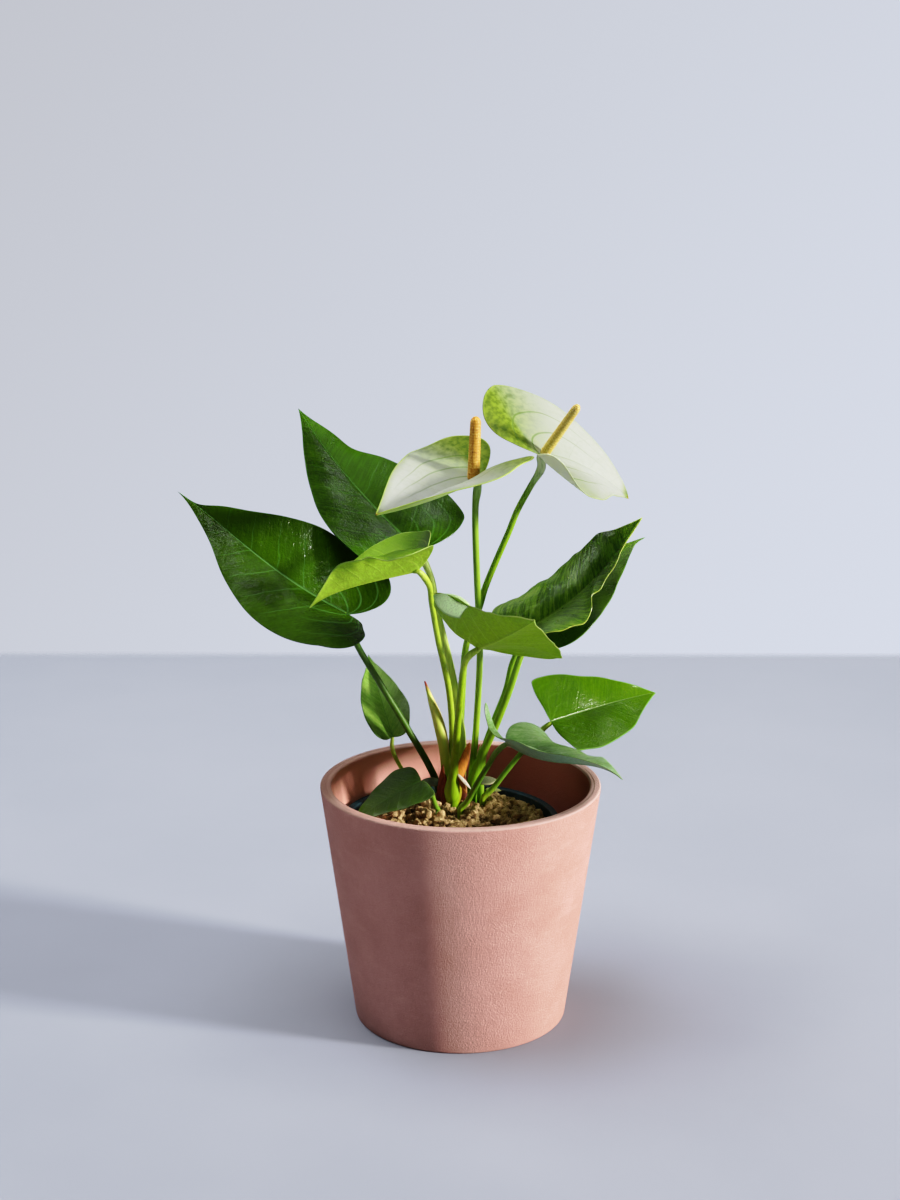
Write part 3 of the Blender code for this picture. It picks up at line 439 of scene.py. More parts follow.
SCALES = {
    # Leaf 4's turned lobe is pale grey-green, far paler than the leaf: a painted sheen and light on its
    # turned underside.
    "leaf_4_turned_lobe": Scale((1.9, -57.6, 238.6), (-13.8, -37.2, 241.8), (-0.4, -0.6, 0.7), 12.0, 50,
        0.8, 0.22, ((0.50, 0.70, 0.34), (0.58, 0.78, 0.46), (0.52, 0.74, 0.34)), "leaf_fresh"),
    "scrap_orange": Scale((-0.8, 11.6, 128), (5.0, 14.2, 148), (0.35, -1, 0.1), 6.6, 90, 0.8, 0.3,
        ((0.86, 0.34, 0.07), (0.90, 0.32, 0.05), (0.42, 0.09, 0.02))),
    "scrap_white": Scale((-1.6, 5.6, 132.6), (5.6, 4.6, 124.4), (0.3, -1, 0.6), 2.4, 60, 0.4, 0.1,
        ((0.70, 0.60, 0.46), (0.78, 0.72, 0.62), (0.55, 0.24, 0.08))),
    "scrap_rust": Scale((-0.6, 6.6, 130.6), (3.4, 5.4, 121.6), (0.3, -1, -0.1), 3.2, 60, 0.4, 0.2,
        ((0.60, 0.24, 0.06), (0.52, 0.20, 0.04), (0.24, 0.07, 0.02))),
    "sheath_left": Scale((-11.6, 12.2, 112), (-9.4, 12.4, 136), (-0.4, -1, 0), 6.4, 120, 0.3, 0.35,
        ((0.16, 0.030, 0.012), (0.42, 0.11, 0.03), (0.12, 0.025, 0.01))),
    "sheath_middle": Scale((-9.0, 9.2, 112), (-8.2, 10.8, 131), (-0.2, -1, 0), 5.4, 110, 0.5, 0.35,
        ((0.13, 0.024, 0.010), (0.34, 0.07, 0.02), (0.10, 0.020, 0.01))),
    "sheath_back": Scale((1.6, 12.4, 112), (2.2, 13.4, 131), (0.1, -1, 0), 5.0, 100, 0.4, 0.4,
        ((0.07, 0.014, 0.008), (0.30, 0.08, 0.02), (0.05, 0.012, 0.006))),
    "stipule": Scale((9.2, 20.4, 137), (11.0, 19.8, 145), (0.2, -1, 0), 1.9, 120, 0.2, 0.4,
        ((0.50, 0.60, 0.28), (0.62, 0.70, 0.40), (0.55, 0.50, 0.25))),
    "dead_leaf_left": Scale((-11.0, 15.6, 124.2), (-21.4, 17.4, 124.8), (0.0, -0.25, 1), 9.0, 26, 0.6, 0.12,
        ((0.13, 0.15, 0.07), (0.10, 0.12, 0.06), (0.24, 0.22, 0.10))),
    "dead_leaf_right": Scale((10.2, 19.6, 123.4), (19.6, 23.0, 123.8), (0.0, -0.25, 1), 9.0, 30, 0.7, 0.12,
        ((0.17, 0.19, 0.10), (0.20, 0.21, 0.12), (0.42, 0.40, 0.22))),
    "dead_leaf_pale": Scale((14.0, 32, 115.2), (22.5, 29, 115.0), (0.1, -0.4, 1), 4.0, 50, 0.5, 0.1,
        ((0.36, 0.42, 0.12), (0.46, 0.50, 0.18), (0.56, 0.56, 0.26))),
}
SCALE_ROWS = 28
SCALE_COLUMNS = 14
SCALE_THICKNESS = 0.35

# Stage: a table whose back edge shows in the photograph, a plain backdrop all round, and soft light.
TABLE_BACK = 0.733
TABLE_FADE = 0.012
TABLE_REACH = 4.2
BACKDROP_RADIUS = 6.0
WHITE_LEVEL = 1.5
# What the camera makes of the light: dark tones fall away and bright tones flatten.
TONES = [(0.02, 0.0074), (0.05, 0.0275), (0.1, 0.074), (0.2, 0.2), (0.4, 0.42), (0.55, 0.58), (0.8, 0.76),
         (1.0, 0.86), (1.2, 0.94)]
LIGHT_AIM = (0, 0, 0.12)
COOL = (0.97, 0.99, 1.0)


@dataclass(frozen=True)
class Light:
    """A square soft light. Some show only as sheen, and one only as soft light without sheen."""

    azimuth: float
    elevation: float
    distance: float
    size: float
    power: float
    colour: tuple = COOL
    diffuse: bool = True
    glossy: bool = True


# A low key from the right, a wide soft light overhead, and lights whose sheen shows on the leaves.
LIGHTS = {
    "key": Light(azimuth=-17.5, elevation=15, distance=4.4, size=0.52, power=320, colour=(1.0, 0.98, 0.95)),
    "overhead": Light(azimuth=168, elevation=79, distance=2.0, size=1.25, power=46,
        colour=(0.97, 0.98, 1.0), glossy=False),
    "window": Light(azimuth=47, elevation=56, distance=2.2, size=0.28, power=1.0),
    "skylight": Light(azimuth=-25, elevation=56, distance=2.2, size=0.24, power=0.6),
    "ceiling": Light(azimuth=-25, elevation=68, distance=2.2, size=0.4, power=3.5, diffuse=False),
    "wall": Light(azimuth=95, elevation=32, distance=2.6, size=1.8, power=4, diffuse=False),
    "reflector": Light(azimuth=168, elevation=40, distance=2.0, size=1.1, power=13, diffuse=False),
}


class Wire:
    """A value that varies over a surface. It takes part in sums, which become Math nodes."""

    def __init__(self, finish, socket):
        self.finish = finish
        self.socket = socket

    def __add__(self, other):
        return self.finish.maths("ADD", self, other)

    def __radd__(self, other):
        return self.finish.maths("ADD", other, self)

    def __sub__(self, other):
        return self.finish.maths("SUBTRACT", self, other)

    def __rsub__(self, other):
        return self.finish.maths("SUBTRACT", other, self)

    def __mul__(self, other):
        return self.finish.maths("MULTIPLY", self, other)

    def __rmul__(self, other):
        return self.finish.maths("MULTIPLY", other, self)

    def __truediv__(self, other):
        return self.finish.maths("DIVIDE", self, other)

    def __pow__(self, other):
        return self.finish.maths("POWER", self, other)

    def __abs__(self):
        return self.finish.maths("ABSOLUTE", self)


class Finish:
    """A material in the making."""

    def __init__(self, name):
        self.material = bpy.data.materials.new(name)
        self.material.use_nodes = True
        self.tree = self.material.node_tree
        self.shader = self.tree.nodes["Principled BSDF"]

    def feed(self, socket, value):
        if isinstance(value, Wire):
            self.tree.links.new(value.socket, socket)
        elif isinstance(value, tuple) and socket.type == "RGBA":
            socket.default_value = (*value, 1.0)
        else:
            socket.default_value = value

    def node(self, kind, settings=None, values=None, output=0):
        """A node, with its settings made first and then the values or links of its sockets."""
        made = self.tree.nodes.new(kind)
        for key, value in (settings or {}).items():
            setattr(made, key, value)
        for key, value in (values or {}).items():
            self.feed(made.inputs[key], value)
        return Wire(self, made.outputs[output])

    def maths(self, operation, *values):
        return self.node("ShaderNodeMath", {"operation": operation}, dict(enumerate(values)))

    def most(self, first, *others):
        for other in others:
            first = self.maths("MAXIMUM", first, other)
        return first

    def step(self, value, low, high):
        """0 below low, 1 above high, and smooth between them."""
        return self.node("ShaderNodeMapRange", {"interpolation_type": "SMOOTHSTEP"},
                         {"Value": value, "From Min": low, "From Max": high})

    def blend(self, mask, first, second):
        """The first colour where the mask is 0, the second where it is 1."""
        return self.node("ShaderNodeMix", {"data_type": "RGBA"}, {0: mask, 6: first, 7: second}, output=2)

    def layers(self, colour, *layers):
        """A colour under other colours that are laid on in turn, each with its mask."""
        for mask, tint in layers:
            colour = self.blend(mask, colour, tint)
        return colour

    def parts(self, vector):
        split = self.node("ShaderNodeSeparateXYZ", {}, {0: vector}).socket.node
        return [Wire(self, socket) for socket in split.outputs]

    def join(self, x, y, z):
        return self.node("ShaderNodeCombineXYZ", {}, {0: x, 1: y, 2: z})

    def attribute(self, name):
        return self.node("ShaderNodeAttribute", {"attribute_name": name}, output=1)

    def place(self):
        """Where a point of the object is, in millimetres."""
        coordinates = self.node("ShaderNodeTexCoord", output=3)
        return self.node("ShaderNodeVectorMath", {"operation": "SCALE"}, {0: coordinates, "Scale": 1 / MM})

    def stretched(self, vector, factors):
        return self.node("ShaderNodeVectorMath", {"operation": "MULTIPLY"}, {0: vector, 1: factors})

    def noise(self, vector, size, detail=2.0, roughness=0.5):
        """Soft noise from 0 to 1, with features about as large as size."""
        return self.node("ShaderNodeTexNoise", {}, {"Vector": vector, "Scale": 1 / size, "Detail": detail,
                                                    "Roughness": roughness})

    def cell_edges(self, vector, size):
        """How far a point is from the edge of its cell, in cells."""
        return self.node("ShaderNodeTexVoronoi", {"feature": "DISTANCE_TO_EDGE"},
                         {"Vector": vector, "Scale": 1 / size})

    def cells(self, vector, size):
        """How far a point is from the middle of its cell, in cells."""
        return self.node("ShaderNodeTexVoronoi", {"feature": "F1"}, {"Vector": vector, "Scale": 1 / size})

    def relief(self, height, strength=1.0):
        """A normal from a height in millimetres."""
        return self.node("ShaderNodeBump", {}, {"Strength": strength, "Distance": MM, "Height": height})

    def dress(self, colour, roughness, normal=None, own=None):
        """Connects what varies and sets the shader's own numbers. Gives the finished material."""
        self.feed(self.shader.inputs["Base Color"], colour)
        self.feed(self.shader.inputs["Roughness"], roughness)
        if normal is not None:
            self.feed(self.shader.inputs["Normal"], normal)
        for name, value in (own or {}).items():
            self.feed(self.shader.inputs[name], value)
        return self.material


def smooth_curve(points, places):
    """A smooth curve through the given points. Place 2.5 on it is halfway from the third to the fourth."""
    points = np.asarray(points, float)
    knots = np.concatenate([[0.0], np.cumsum(np.sqrt(np.linalg.norm(np.diff(points, axis=0), axis=1)))])
    slopes = np.zeros_like(points)
    for i in range(1, len(points) - 1):
        before, after = knots[i] - knots[i - 1], knots[i + 1] - knots[i]
        slopes[i] = ((points[i] - points[i - 1]) / before * after
                     + (points[i + 1] - points[i]) / after * before) / (before + after)
    slopes[0] = 2 * (points[1] - points[0]) / (knots[1] - knots[0]) - slopes[1]
    slopes[-1] = 2 * (points[-1] - points[-2]) / (knots[-1] - knots[-2]) - slopes[-2]
    span = np.clip(np.floor(places).astype(int), 0, len(points) - 2)
    step = (knots[span + 1] - knots[span])[:, None]
    u = (np.asarray(places) - span)[:, None]
    return ((2 * u**3 - 3 * u**2 + 1) * points[span] + (u**3 - 2 * u**2 + u) * step * slopes[span]
            + (3 * u**2 - 2 * u**3) * points[span + 1] + (u**3 - u**2) * step * slopes[span + 1])


def lengths_along(line):
    """How far each point lies along a line."""
    return np.concatenate([[0.0], np.cumsum(np.linalg.norm(np.diff(line, axis=0), axis=1))])


def share_of_length(line):
    """How far each point lies along a line, from 0 to 1."""
    lengths = lengths_along(line)
    return lengths / lengths[-1]


def read_off(line, knots, places):
    """The points of a line at the given places between its knots."""
    return np.stack([np.interp(places, knots, column) for column in line.T], -1)


def evenly(line, count):
    """The same line with its points spread evenly."""
    lengths = lengths_along(line)
    return read_off(line, lengths, np.linspace(0, lengths[-1], count))


def direction(turn, pitch):
    """A unit vector that is turned from +X towards +Y and then lifted. Angles are in radians."""
    return np.stack([np.cos(pitch) * np.cos(turn), np.cos(pitch) * np.sin(turn), np.sin(pitch)], -1)


def leftward(turn):
    """The level unit vector to the left of a turned one."""
    return np.stack([-np.sin(turn), np.cos(turn), 0 * turn], -1)


def unit(vectors):
    return vectors / np.linalg.norm(vectors, axis=-1, keepdims=True)


def half_of(side):
    """Which half of a blade lies to a side: 1 is the left, -1 the right."""
    return LEFT if side > 0 else RIGHT


def half_outline(blade, side, count):
    """One half of the flat blade's margin, from the notch behind the stalk to the tip."""
    points = []
    for along, out in HALF_HEART:
        if along > SHOULDER:
            out = out ** blade.fullness
        x = along * (blade.lobe if along < 0 else blade.length)
        points.append((x, side * out * blade.width / 2 * blade.sides[half_of(side)]))
    return evenly(smooth_curve(points, np.linspace(0, len(points) - 1, MARGIN_STEPS)), count)


def dented_margin(name, side, count):
    """One half's margin with its dents, and how far each point of it is lifted."""
    margin = half_outline(BLADES[name], side, count)
    lift = np.zeros(count)
    along = np.linspace(0, 1, count)
    for dent in DENTS.get(name, []):
        if dent.half == half_of(side):
            bump = np.exp(-(((along - dent.at) / dent.reach) ** 2))
            margin = margin + bump[:, None] * (dent.ahead, side * dent.out)
            lift = lift + bump * dent.lift
    return margin, lift


def bend(blade, x, y, side):
    """Where a point of the flat blade goes: x along the midrib, y to its side, in arrays."""
    which = half_of(side)
    out = np.abs(y)
    fold = math.radians(blade.fold[which])
    curl = math.radians(blade.curl[which]) / (blade.width / 2) or ALMOST_FLAT
    across = (np.sin(fold + curl * out) - math.sin(fold)) / curl
    lift = (math.cos(fold) - np.cos(fold + curl * out)) / curl

    grid = np.linspace(0, 1, RIB_STEPS)
    pitch = -math.radians(blade.droop) * grid - math.radians(blade.hook) * grid**4
    turn = math.radians(blade.sweep) * grid
    ahead = direction(turn, pitch)
    steps = (ahead[1:] + ahead[:-1]) / 2 * blade.length / (len(grid) - 1)
    path = np.concatenate([np.zeros((1, 3)), np.cumsum(steps, axis=0)])
    place = np.clip(x / blade.length, 0, 1)
    turn_here = np.interp(place, grid, turn)
    forward, level = direction(turn_here, np.interp(place, grid, pitch)), leftward(turn_here)
    upward = np.cross(forward, level)
    twist = (math.radians(blade.twist) * place)[..., None]
    aside = level * np.cos(twist) + upward * np.sin(twist)
    upward = upward * np.cos(twist) - level * np.sin(twist)

    back = np.minimum(x, 0)
    drop = math.radians(blade.lobe_drop[which]) / blade.lobe or ALMOST_FLAT
    along = (np.sin(drop * back) / drop)[..., None]
    above_rib = (lift - (1 - np.cos(drop * back)) / drop)[..., None]
    local = (read_off(path, grid, place) + forward * along + upward * above_rib
             + aside * (side * across)[..., None])

    heading, roll = math.radians(blade.heading), math.radians(blade.roll)
    axis_x, flat = direction(heading, math.radians(blade.rise)), leftward(heading)
    over = np.cross(axis_x, flat)
    axis_y = flat * math.cos(roll) + over * math.sin(roll)
    axis_z = over * math.cos(roll) - flat * math.sin(roll)
    return local @ np.stack([axis_x, axis_y, axis_z]) + np.array(blade.at, float)


def blade_normals(blade, x, y, side):
    """Unit normals of the bent blade. Close to the midrib they turn into the midrib's own."""
    def slope_normal(px, py, way):
        ahead = bend(blade, px + SLOPE_STEP, py, way) - bend(blade, px - SLOPE_STEP, py, way)
        sideways = bend(blade, px, py + way * SLOPE_STEP, way) - bend(blade, px, py, way)
        return unit(np.cross(ahead, sideways) * way)

    own = slope_normal(x, y, side)
    rib = unit(slope_normal(x, 0 * y, 1) + slope_normal(x, 0 * y, -1))
    weight = np.clip(np.abs(y) / RIB_BLEND, 0, 1)[..., None]
    return unit(own * weight + rib * (1 - weight))


def seeded_waves(seed, count, lengths):
    """Waves over a plane that add up to soft lumps: wave vector, shift and size of each."""
    draw = np.random.default_rng(seed)
    waves = []
    for _ in range(count):
        angle = draw.uniform(0, math.tau)
        length = draw.uniform(*lengths)
        waves.append((math.cos(angle) * math.tau / length, math.sin(angle) * math.tau / length,
                      draw.uniform(0, math.tau), length / max(lengths)))
    return waves


def wave_sum(waves, x, y):
    return sum(size * np.sin(kx * x + ky * y + shift) for kx, ky, shift, size in waves)


def show(name, mesh, material, nodes, sharp_angle=None):
    """Puts a finished mesh in the scene, on the object's one body, in place of CAD nodes."""
    mesh.shade_smooth()
    if sharp_angle is not None:
        mesh.set_sharp_from_angle(angle=math.radians(sharp_angle))
    mesh.materials.append(material)
    piece = bpy.data.objects.new(name, mesh)
    bpy.context.collection.objects.link(piece)
    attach(piece, "root")
    if nodes:
        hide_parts(*nodes)


def mesh_from(name, points, faces, attributes=None):
    """A mesh from points in millimetres, with a vector for each point under each attribute's name."""
    mesh = bpy.data.meshes.new(name)
    mesh.from_pydata((np.asarray(points) * MM).tolist(), [], faces)
    for label, values in (attributes or {}).items():
        layer = mesh.attributes.new(label, "FLOAT_VECTOR", "POINT")
        layer.data.foreach_set("vector", np.asarray(values, np.float32).ravel())
    return mesh


def finished(shape, mesh):
    """The mesh, with the bmesh's shape in it."""
    shape.to_mesh(mesh)
    shape.free()
    return mesh


def closed(mesh, merge=False):
    """Drops a mesh's loose points, merges points that lie together if asked, and turns faces outwards."""
    shape = bmesh.new()
    shape.from_mesh(mesh)
    bmesh.ops.delete(shape, geom=[v for v in shape.verts if not v.link_faces], context="VERTS")
    if merge:
        bmesh.ops.remove_doubles(shape, verts=shape.verts, dist=MERGE_DISTANCE)
    bmesh.ops.recalc_face_normals(shape, faces=shape.faces)
    return finished(shape, mesh)


def vein_course(x, out):
    """Where the vein through a point leaves the midrib. Veins slant forwards and bow to the tip."""
    return x - VEIN_SLANT * out - VEIN_BOW * out * out


def blade_half(name, side, spacing, quilt, wave, seed):
    """Both faces of half a blade as grids of points, and the two vectors that its finish reads."""
    blade = BLADES[name]
    even = np.linspace(0, 1, BLADE_COLUMNS + 1)
    share = even - COLUMN_CROWDING * np.sin(even * math.tau)
    row = np.linspace(0, 1, BLADE_ROWS + 1)
    rib_x = row**ROW_CROWDING * blade.length
    margin, margin_lift = dented_margin(name, side, BLADE_ROWS + 1)
    reach = np.hypot(margin[:, 0] - rib_x, margin[:, 1])[:, None]
    row, rib_x = row[:, None], rib_x[:, None]
    x = rib_x * (1 - share) + margin[:, :1] * share
    y = margin[:, 1:] * share
    out = np.abs(y)
    off_margin = reach * (1 - share)

    # What bends the blade's middle up and down.
    station = vein_course(x, out) / spacing
    swell = quilt * np.sin(station * math.pi) ** 2
    swell = swell * np.clip(out / 8, 0, 1) * np.clip(off_margin / 6, 0, 1)
    start = np.random.default_rng(seed).uniform(0, math.tau, 3)
    ripple = wave * share**4 * np.sin(row * RIPPLES + start[half_of(side)])
    ripple = ripple * np.sin(row * RIPPLE_GROUPS + start[2]) * np.clip((1 - row) * 6, 0, 1)
    undulation = seeded_waves(seed, UNDULATIONS, UNDULATION_LENGTHS)
    drift = UNDULATION * wave_sum(undulation, x, y) * np.clip(out / 10, 0, 1) * np.clip((1 - row) * 5, 0, 1)
    lift = margin_lift[:, None] * share**1.7
    normal = blade_normals(blade, x, y, side)
    middle = bend(blade, x, y, side) + normal * (swell + ripple + drift + lift)[..., None]

    # How far each face stands off the middle.
    thickness = BLADE_THICKNESS / 2 * np.sqrt(1 - (1 - np.clip(off_margin / EDGE_ROUNDING, 0, 1)) ** 2)
    taper = 1 - RIB_TAPER * np.clip(x / blade.length, 0, 1)
    ridge = taper * np.exp(-((out / (RIB_WIDTH * taper)) ** 2)) * np.clip((x + 1) / 2, 0, 1)
    above = middle + normal * (thickness + RIB_ABOVE * ridge)[..., None]
    below = middle - normal * (thickness + RIB_BELOW * ridge)[..., None]
    lamina = np.stack([x, y, off_margin], -1)
    return above, below, lamina, np.stack(np.broadcast_arrays(row, share, reach), -1)


def make_blade(name, label, spacing, quilt, wave, seed):
    """A thin closed blade with both faces: the midrib, the swelling between veins and the waved margin."""
    rows, columns = BLADE_ROWS, BLADE_COLUMNS
    index, kept = {}, [[], [], [], []]

    def corner(row, column, side):
        """The halves share the notch, the midrib and the tip."""
        if row == rows:
            return rows, 0, 0
        return row, column, 0 if row == 0 or column == 0 else side

    for side in (1, -1):
        grids = blade_half(name, side, spacing, quilt, wave, seed)
        for row, column in np.ndindex(rows + 1, columns + 1):
            key = corner(row, column, side)
            if key not in index:
                index[key] = len(index)
                for values, grid in zip(kept, grids):
                    values.append(grid[row, column])
    upper, lower, lamina, grid = kept
    on_margin = {index[corner(row, columns, side)] for side in (1, -1) for row in range(rows + 1)}
    count = len(upper)
    faces = []
    for side in (1, -1):
        for row, column in np.ndindex(rows, columns):
            corners = [(row, column), (row + 1, column), (row + 1, column + 1), (row, column + 1)]
            face = list(dict.fromkeys(index[corner(r, c, side)] for r, c in corners))[::side]
            if len(face) > 2:
                faces.append(face)
                faces.append([i if i in on_margin else i + count for i in reversed(face)])
    facing = np.zeros((2 * count, 3))
    facing[:count, 0] = [0 if i in on_margin else 1 for i in range(count)]
    facing[count:, 0] = -1
    attributes = {"lamina": lamina * 2, "grid": grid * 2, "facing": facing}
    return closed(mesh_from(label, upper + lower, faces, attributes))


def vein_line(finish, distance, width):
    """1 on a line and 0 beside it, for a distance and a width in millimetres."""
    return 1 - finish.step(distance, width * 0.35, width)


def blade_places(finish, blade, spacing, long_veins, long_reach):
    """What a blade's finish reads: where a point lies, and masks for the midrib and the veins."""
    x, y, off_margin = finish.parts(finish.attribute("lamina"))
    row, share, reach = finish.parts(finish.attribute("grid"))
    face = finish.parts(finish.attribute("facing"))[0]
    out = abs(y)
    taper = 1 - 0.75 * finish.step(x, 0, blade.length)
    rib = vein_line(finish, out, 1.0 * taper) * finish.step(x, -1.5, 0.5)
    wander = 0.22 * (finish.noise(finish.join(x, y, 0.0), 14) - 0.5)
    station = vein_course(x, out) / spacing + wander
    beside = abs(finish.maths("FRACT", station) - 0.5)
    lateral = vein_line(finish, beside * spacing * 0.85, 0.55 * taper)
    lateral = lateral * finish.step(station, 0.35, 0.6) * (1 - finish.step(share, 0.72, 0.93))
    fade = 1 - finish.step(row, 0.5 * long_reach, long_reach)
    long = finish.most(*(vein_line(finish, abs(share - vein) * reach, 0.75) * fade for vein in long_veins))
    return SimpleNamespace(x=x, y=y, out=out, off_margin=off_margin, share=share, face=face, rib=rib,
                           lateral=lateral, long=long, beside=beside, upper=finish.step(face, -0.2, 0.2),
                           left=finish.step(y, -2, 2))


def make_leaf_finish(name, blade, look):
    """Leaf: dark and light green, pale veins, a light rim, swelling between veins and a soft gloss, and
    painted light on part of one half of some leaves.
    """
    finish = Finish(name)
    on = blade_places(finish, blade, look.vein_spacing, (0.3, 0.55, 0.8), 0.4)
    flat = finish.join(on.x, on.y, float(look.seed))
    mottle = finish.noise(flat, 1.6, detail=3)
    net = finish.cell_edges(flat, 1.9)
    along = finish.join(vein_course(on.x, on.out), on.out * 0.14, float(look.seed))
    streaks = finish.noise(along, 1.3, detail=3, roughness=0.7)
    veins = finish.most(on.rib, on.lateral * 0.6, on.long * 0.7)

    # How far the upper face turns from the dark to the light colour: random patches, mottle and streaks,
    # and painted light on part of one half.
    shade = finish.step(finish.noise(flat, 16, detail=3), 0.3, 0.7) * 0.25
    shade = shade + finish.step(mottle, 0.3, 0.75) * 0.2 + 0.1
    start = look.painted_light_from * blade.length
    # Painted light: part of one half turns to the light colour, from a point along the midrib.
    painted_light_half = finish.step(on.x, start, start + 0.45 * blade.length)
    painted_light_half = painted_light_half * (on.left * look.painted_light_half[LEFT] + (1 - on.left) * look.painted_light_half[RIGHT])
    shade = shade + painted_light_half - shade * painted_light_half + look.streaks * (finish.step(streaks, 0.35, 0.65) - 0.5)

    top = finish.blend(shade, look.dark, look.light)
    mesh_lines = finish.step(mottle, 0.25, 0.75) * 0.7 + 0.3 * (1 - finish.step(net, 0.02, 0.14))
    bottom = finish.blend(mesh_lines, look.under, tuple(0.72 * c for c in look.under))
    edge = 1 - finish.step(on.off_margin, 0.35, 0.9)
    colour = finish.layers(bottom, (on.upper, top), (veins * look.vein_share, look.vein),
                           (edge * 0.8, look.rim))
    swell = look.quilt * (1 - (1 - 2 * on.beside) ** 2) * finish.step(on.out, 0.0, 6.0)
    crinkle = look.crinkle * (finish.noise(flat, 3.4, detail=4) + 0.5 * streaks)
    crinkle = crinkle + 0.03 * finish.step(net, 0.0, 0.25)
    height = on.face * (swell * 0.5 - 0.14 * on.rib - 0.04 * veins + crinkle)
    roughness = look.roughness + 0.10 * finish.noise(flat, 7) + 0.16 * (1 - on.upper) + 0.3 * on.rib
    return finish.dress(colour, roughness, finish.relief(height), LEAF_FLESH)


def make_spathe_finish(name, blade, look):
    """Spathe: waxy white, green at the rear lobes and along a few long curved veins, green at the rim."""
    finish = Finish(name)
    on = blade_places(finish, blade, SPATHE_VEIN_SPACING, look.veins, 0.9)
    flat = finish.join(on.x, on.y, float(look.seed))
    mottle = finish.noise(flat, 3.5, detail=4, roughness=0.6)
    rearward = finish.step(on.x + 26 * (mottle - 0.5), 26, -0.5 * blade.lobe)
    amount = on.left * look.green[LEFT] + (1 - on.left) * look.green[RIGHT]
    outward = finish.most(finish.step(on.share, 0.15, 0.85), finish.step(on.x, 1, -7))
    green = rearward * amount * (0.35 + 0.65 * outward)
    margin_green = (1 - finish.step(on.off_margin, 0.5, 7)) * 0.4 * look.rim_green
    tip_green = finish.step(on.x, blade.length * 0.88, blade.length * 0.99)
    forward = finish.step(on.x, 0, blade.length * 0.7)
    white = finish.blend(mottle * (1 - 0.6 * forward), (0.43, 0.44, 0.41), (0.25, 0.29, 0.17))
    green_tissue = finish.blend(finish.step(mottle, 0.35, 0.65), (0.085, 0.145, 0.008), (0.19, 0.27, 0.02))
    veins = finish.most(on.long * (0.5 + 0.5 * rearward), on.rib * 0.35, on.lateral * 0.14)
    edge = 1 - finish.step(on.off_margin, 0.5, 1.5)
    brown = finish.step(on.x, blade.length * 0.972, blade.length * 0.995)
    colour = finish.layers(white, (finish.most(green, margin_green, tip_green), green_tissue),
                           (veins * 0.9, (0.11, 0.19, 0.03)), ((1 - on.upper) * 0.9, look.under),
                           (edge * look.rim_green, (0.34, 0.46, 0.08)), (brown, (0.35, 0.20, 0.03)))
    height = on.face * (0.06 * finish.noise(flat, 3.0, detail=3) - 0.10 * veins)
    return finish.dress(colour, 0.45 + 0.1 * mottle, finish.relief(height), SPATHE_FLESH)


def grid_faces(rows, columns, around=False):
    """The faces between a grid's points, and from the last column to the first where it goes around."""
    faces = []
    for row, column in np.ndindex(rows - 1, columns if around else columns - 1):
        a, b = row * columns + column, row * columns + (column + 1) % columns
        faces.append((a, a + columns, b + columns, b))
    return faces


def tube_mesh(name, points, attribute, notes):
    """A tube of rings of points, closed at both ends."""
    rings, sides = points.shape[:2]
    last = (rings - 1) * sides
    faces = [*grid_faces(rings, sides, around=True), tuple(range(sides)), tuple(range(last, last + sides))]
    return closed(mesh_from(name, points.reshape(-1, 3), faces, {attribute: notes}))


def tube_frames(path):
    """Two unit vectors square to the path at each point, turning as little as they can."""
    ahead = unit(np.gradient(path, axis=0))
    first = np.cross(ahead[0], (0.0, 1.0, 0.0))
    firsts = []
    for way in ahead:
        first = unit(first - way * (first @ way))
        firsts.append(first)
    return np.array(firsts), np.cross(ahead, firsts)


def make_tube(name, path, radii, sides=STALK_SIDES, overlap=0.0):
    """A round bar along a path, or with an overlap a rolled leaf whose edge stands out by that share.

    Its attribute holds the distance from the top, the share of the length and which way a point faces:
    1 is right.
    """
    first, second = tube_frames(path)
    angles = np.linspace(0, math.tau, sides, endpoint=False)
    spokes = (np.cos(angles)[None, :, None] * first[:, None]
              + np.sin(angles)[None, :, None] * second[:, None])
    rolled = 1 + overlap * (angles / math.tau - 0.5)
    points = path[:, None] + spokes * radii[:, None, None] * rolled[None, :, None]
    lengths, along = lengths_along(path)[:, None], share_of_length(path)[:, None]
    notes = np.stack(np.broadcast_arrays(lengths, along, spokes[..., 0]), -1)
    return tube_mesh(name, points, "stem", notes)


def rooted(points, foot, count):
    """A smooth line through the points, with a straight piece at each end, the last one in the soil."""
    above = (*foot, STEMS_STRAIGHT_FROM)
    below = (*foot, STEM_FOOT_Z)
    given = [*points, above, below]
    return np.array([given[0], *smooth_curve(given, np.linspace(1, len(given) - 2, count)), below])


def stalk_path(name, count):
    """A stalk's line from under its blade's midrib, round a soft bend, to its foot in the soil."""
    blade, stalk = BLADES[name], STALKS[name]
    zero = np.zeros(1)
    normal = blade_normals(blade, zero + 0.4, zero, 1)[0]
    ahead = unit(bend(blade, zero + STALK_RUN_IN, zero, 1)[0] - bend(blade, zero, zero, 1)[0])
    under = np.array(blade.at, float) - normal * STALK_DEPTH
    return rooted([under + ahead * STALK_RUN_IN, under, *stalk.through], stalk.foot, count)


def stalk_radii(name, path):
    """Slim for most of the length, with a swollen joint under the blade, thicker towards the foot."""
    top, middle, foot = STALKS[name].radii
    along, lengths = share_of_length(path), lengths_along(path)
    swelling = np.clip((along - STALK_SWELLS_FROM) / (1 - STALK_SWELLS_FROM), 0, 1) ** 1.5
    slim = top + (middle - top) * np.minimum(along / STALK_SWELLS_FROM, 1)
    joint = JOINTS.get(name, USUAL_JOINT) * top * np.exp(-(((lengths - 9) / 5) ** 2))
    radii = (slim + joint + (foot - middle) * swelling) * np.clip(0.35 + lengths / 5, 0, 1)
    for height, reach, amount in SHEATHS.get(name, []):
        radii = radii + amount * np.exp(-(((path[:, 2] - height) / reach) ** 2))
    return radii


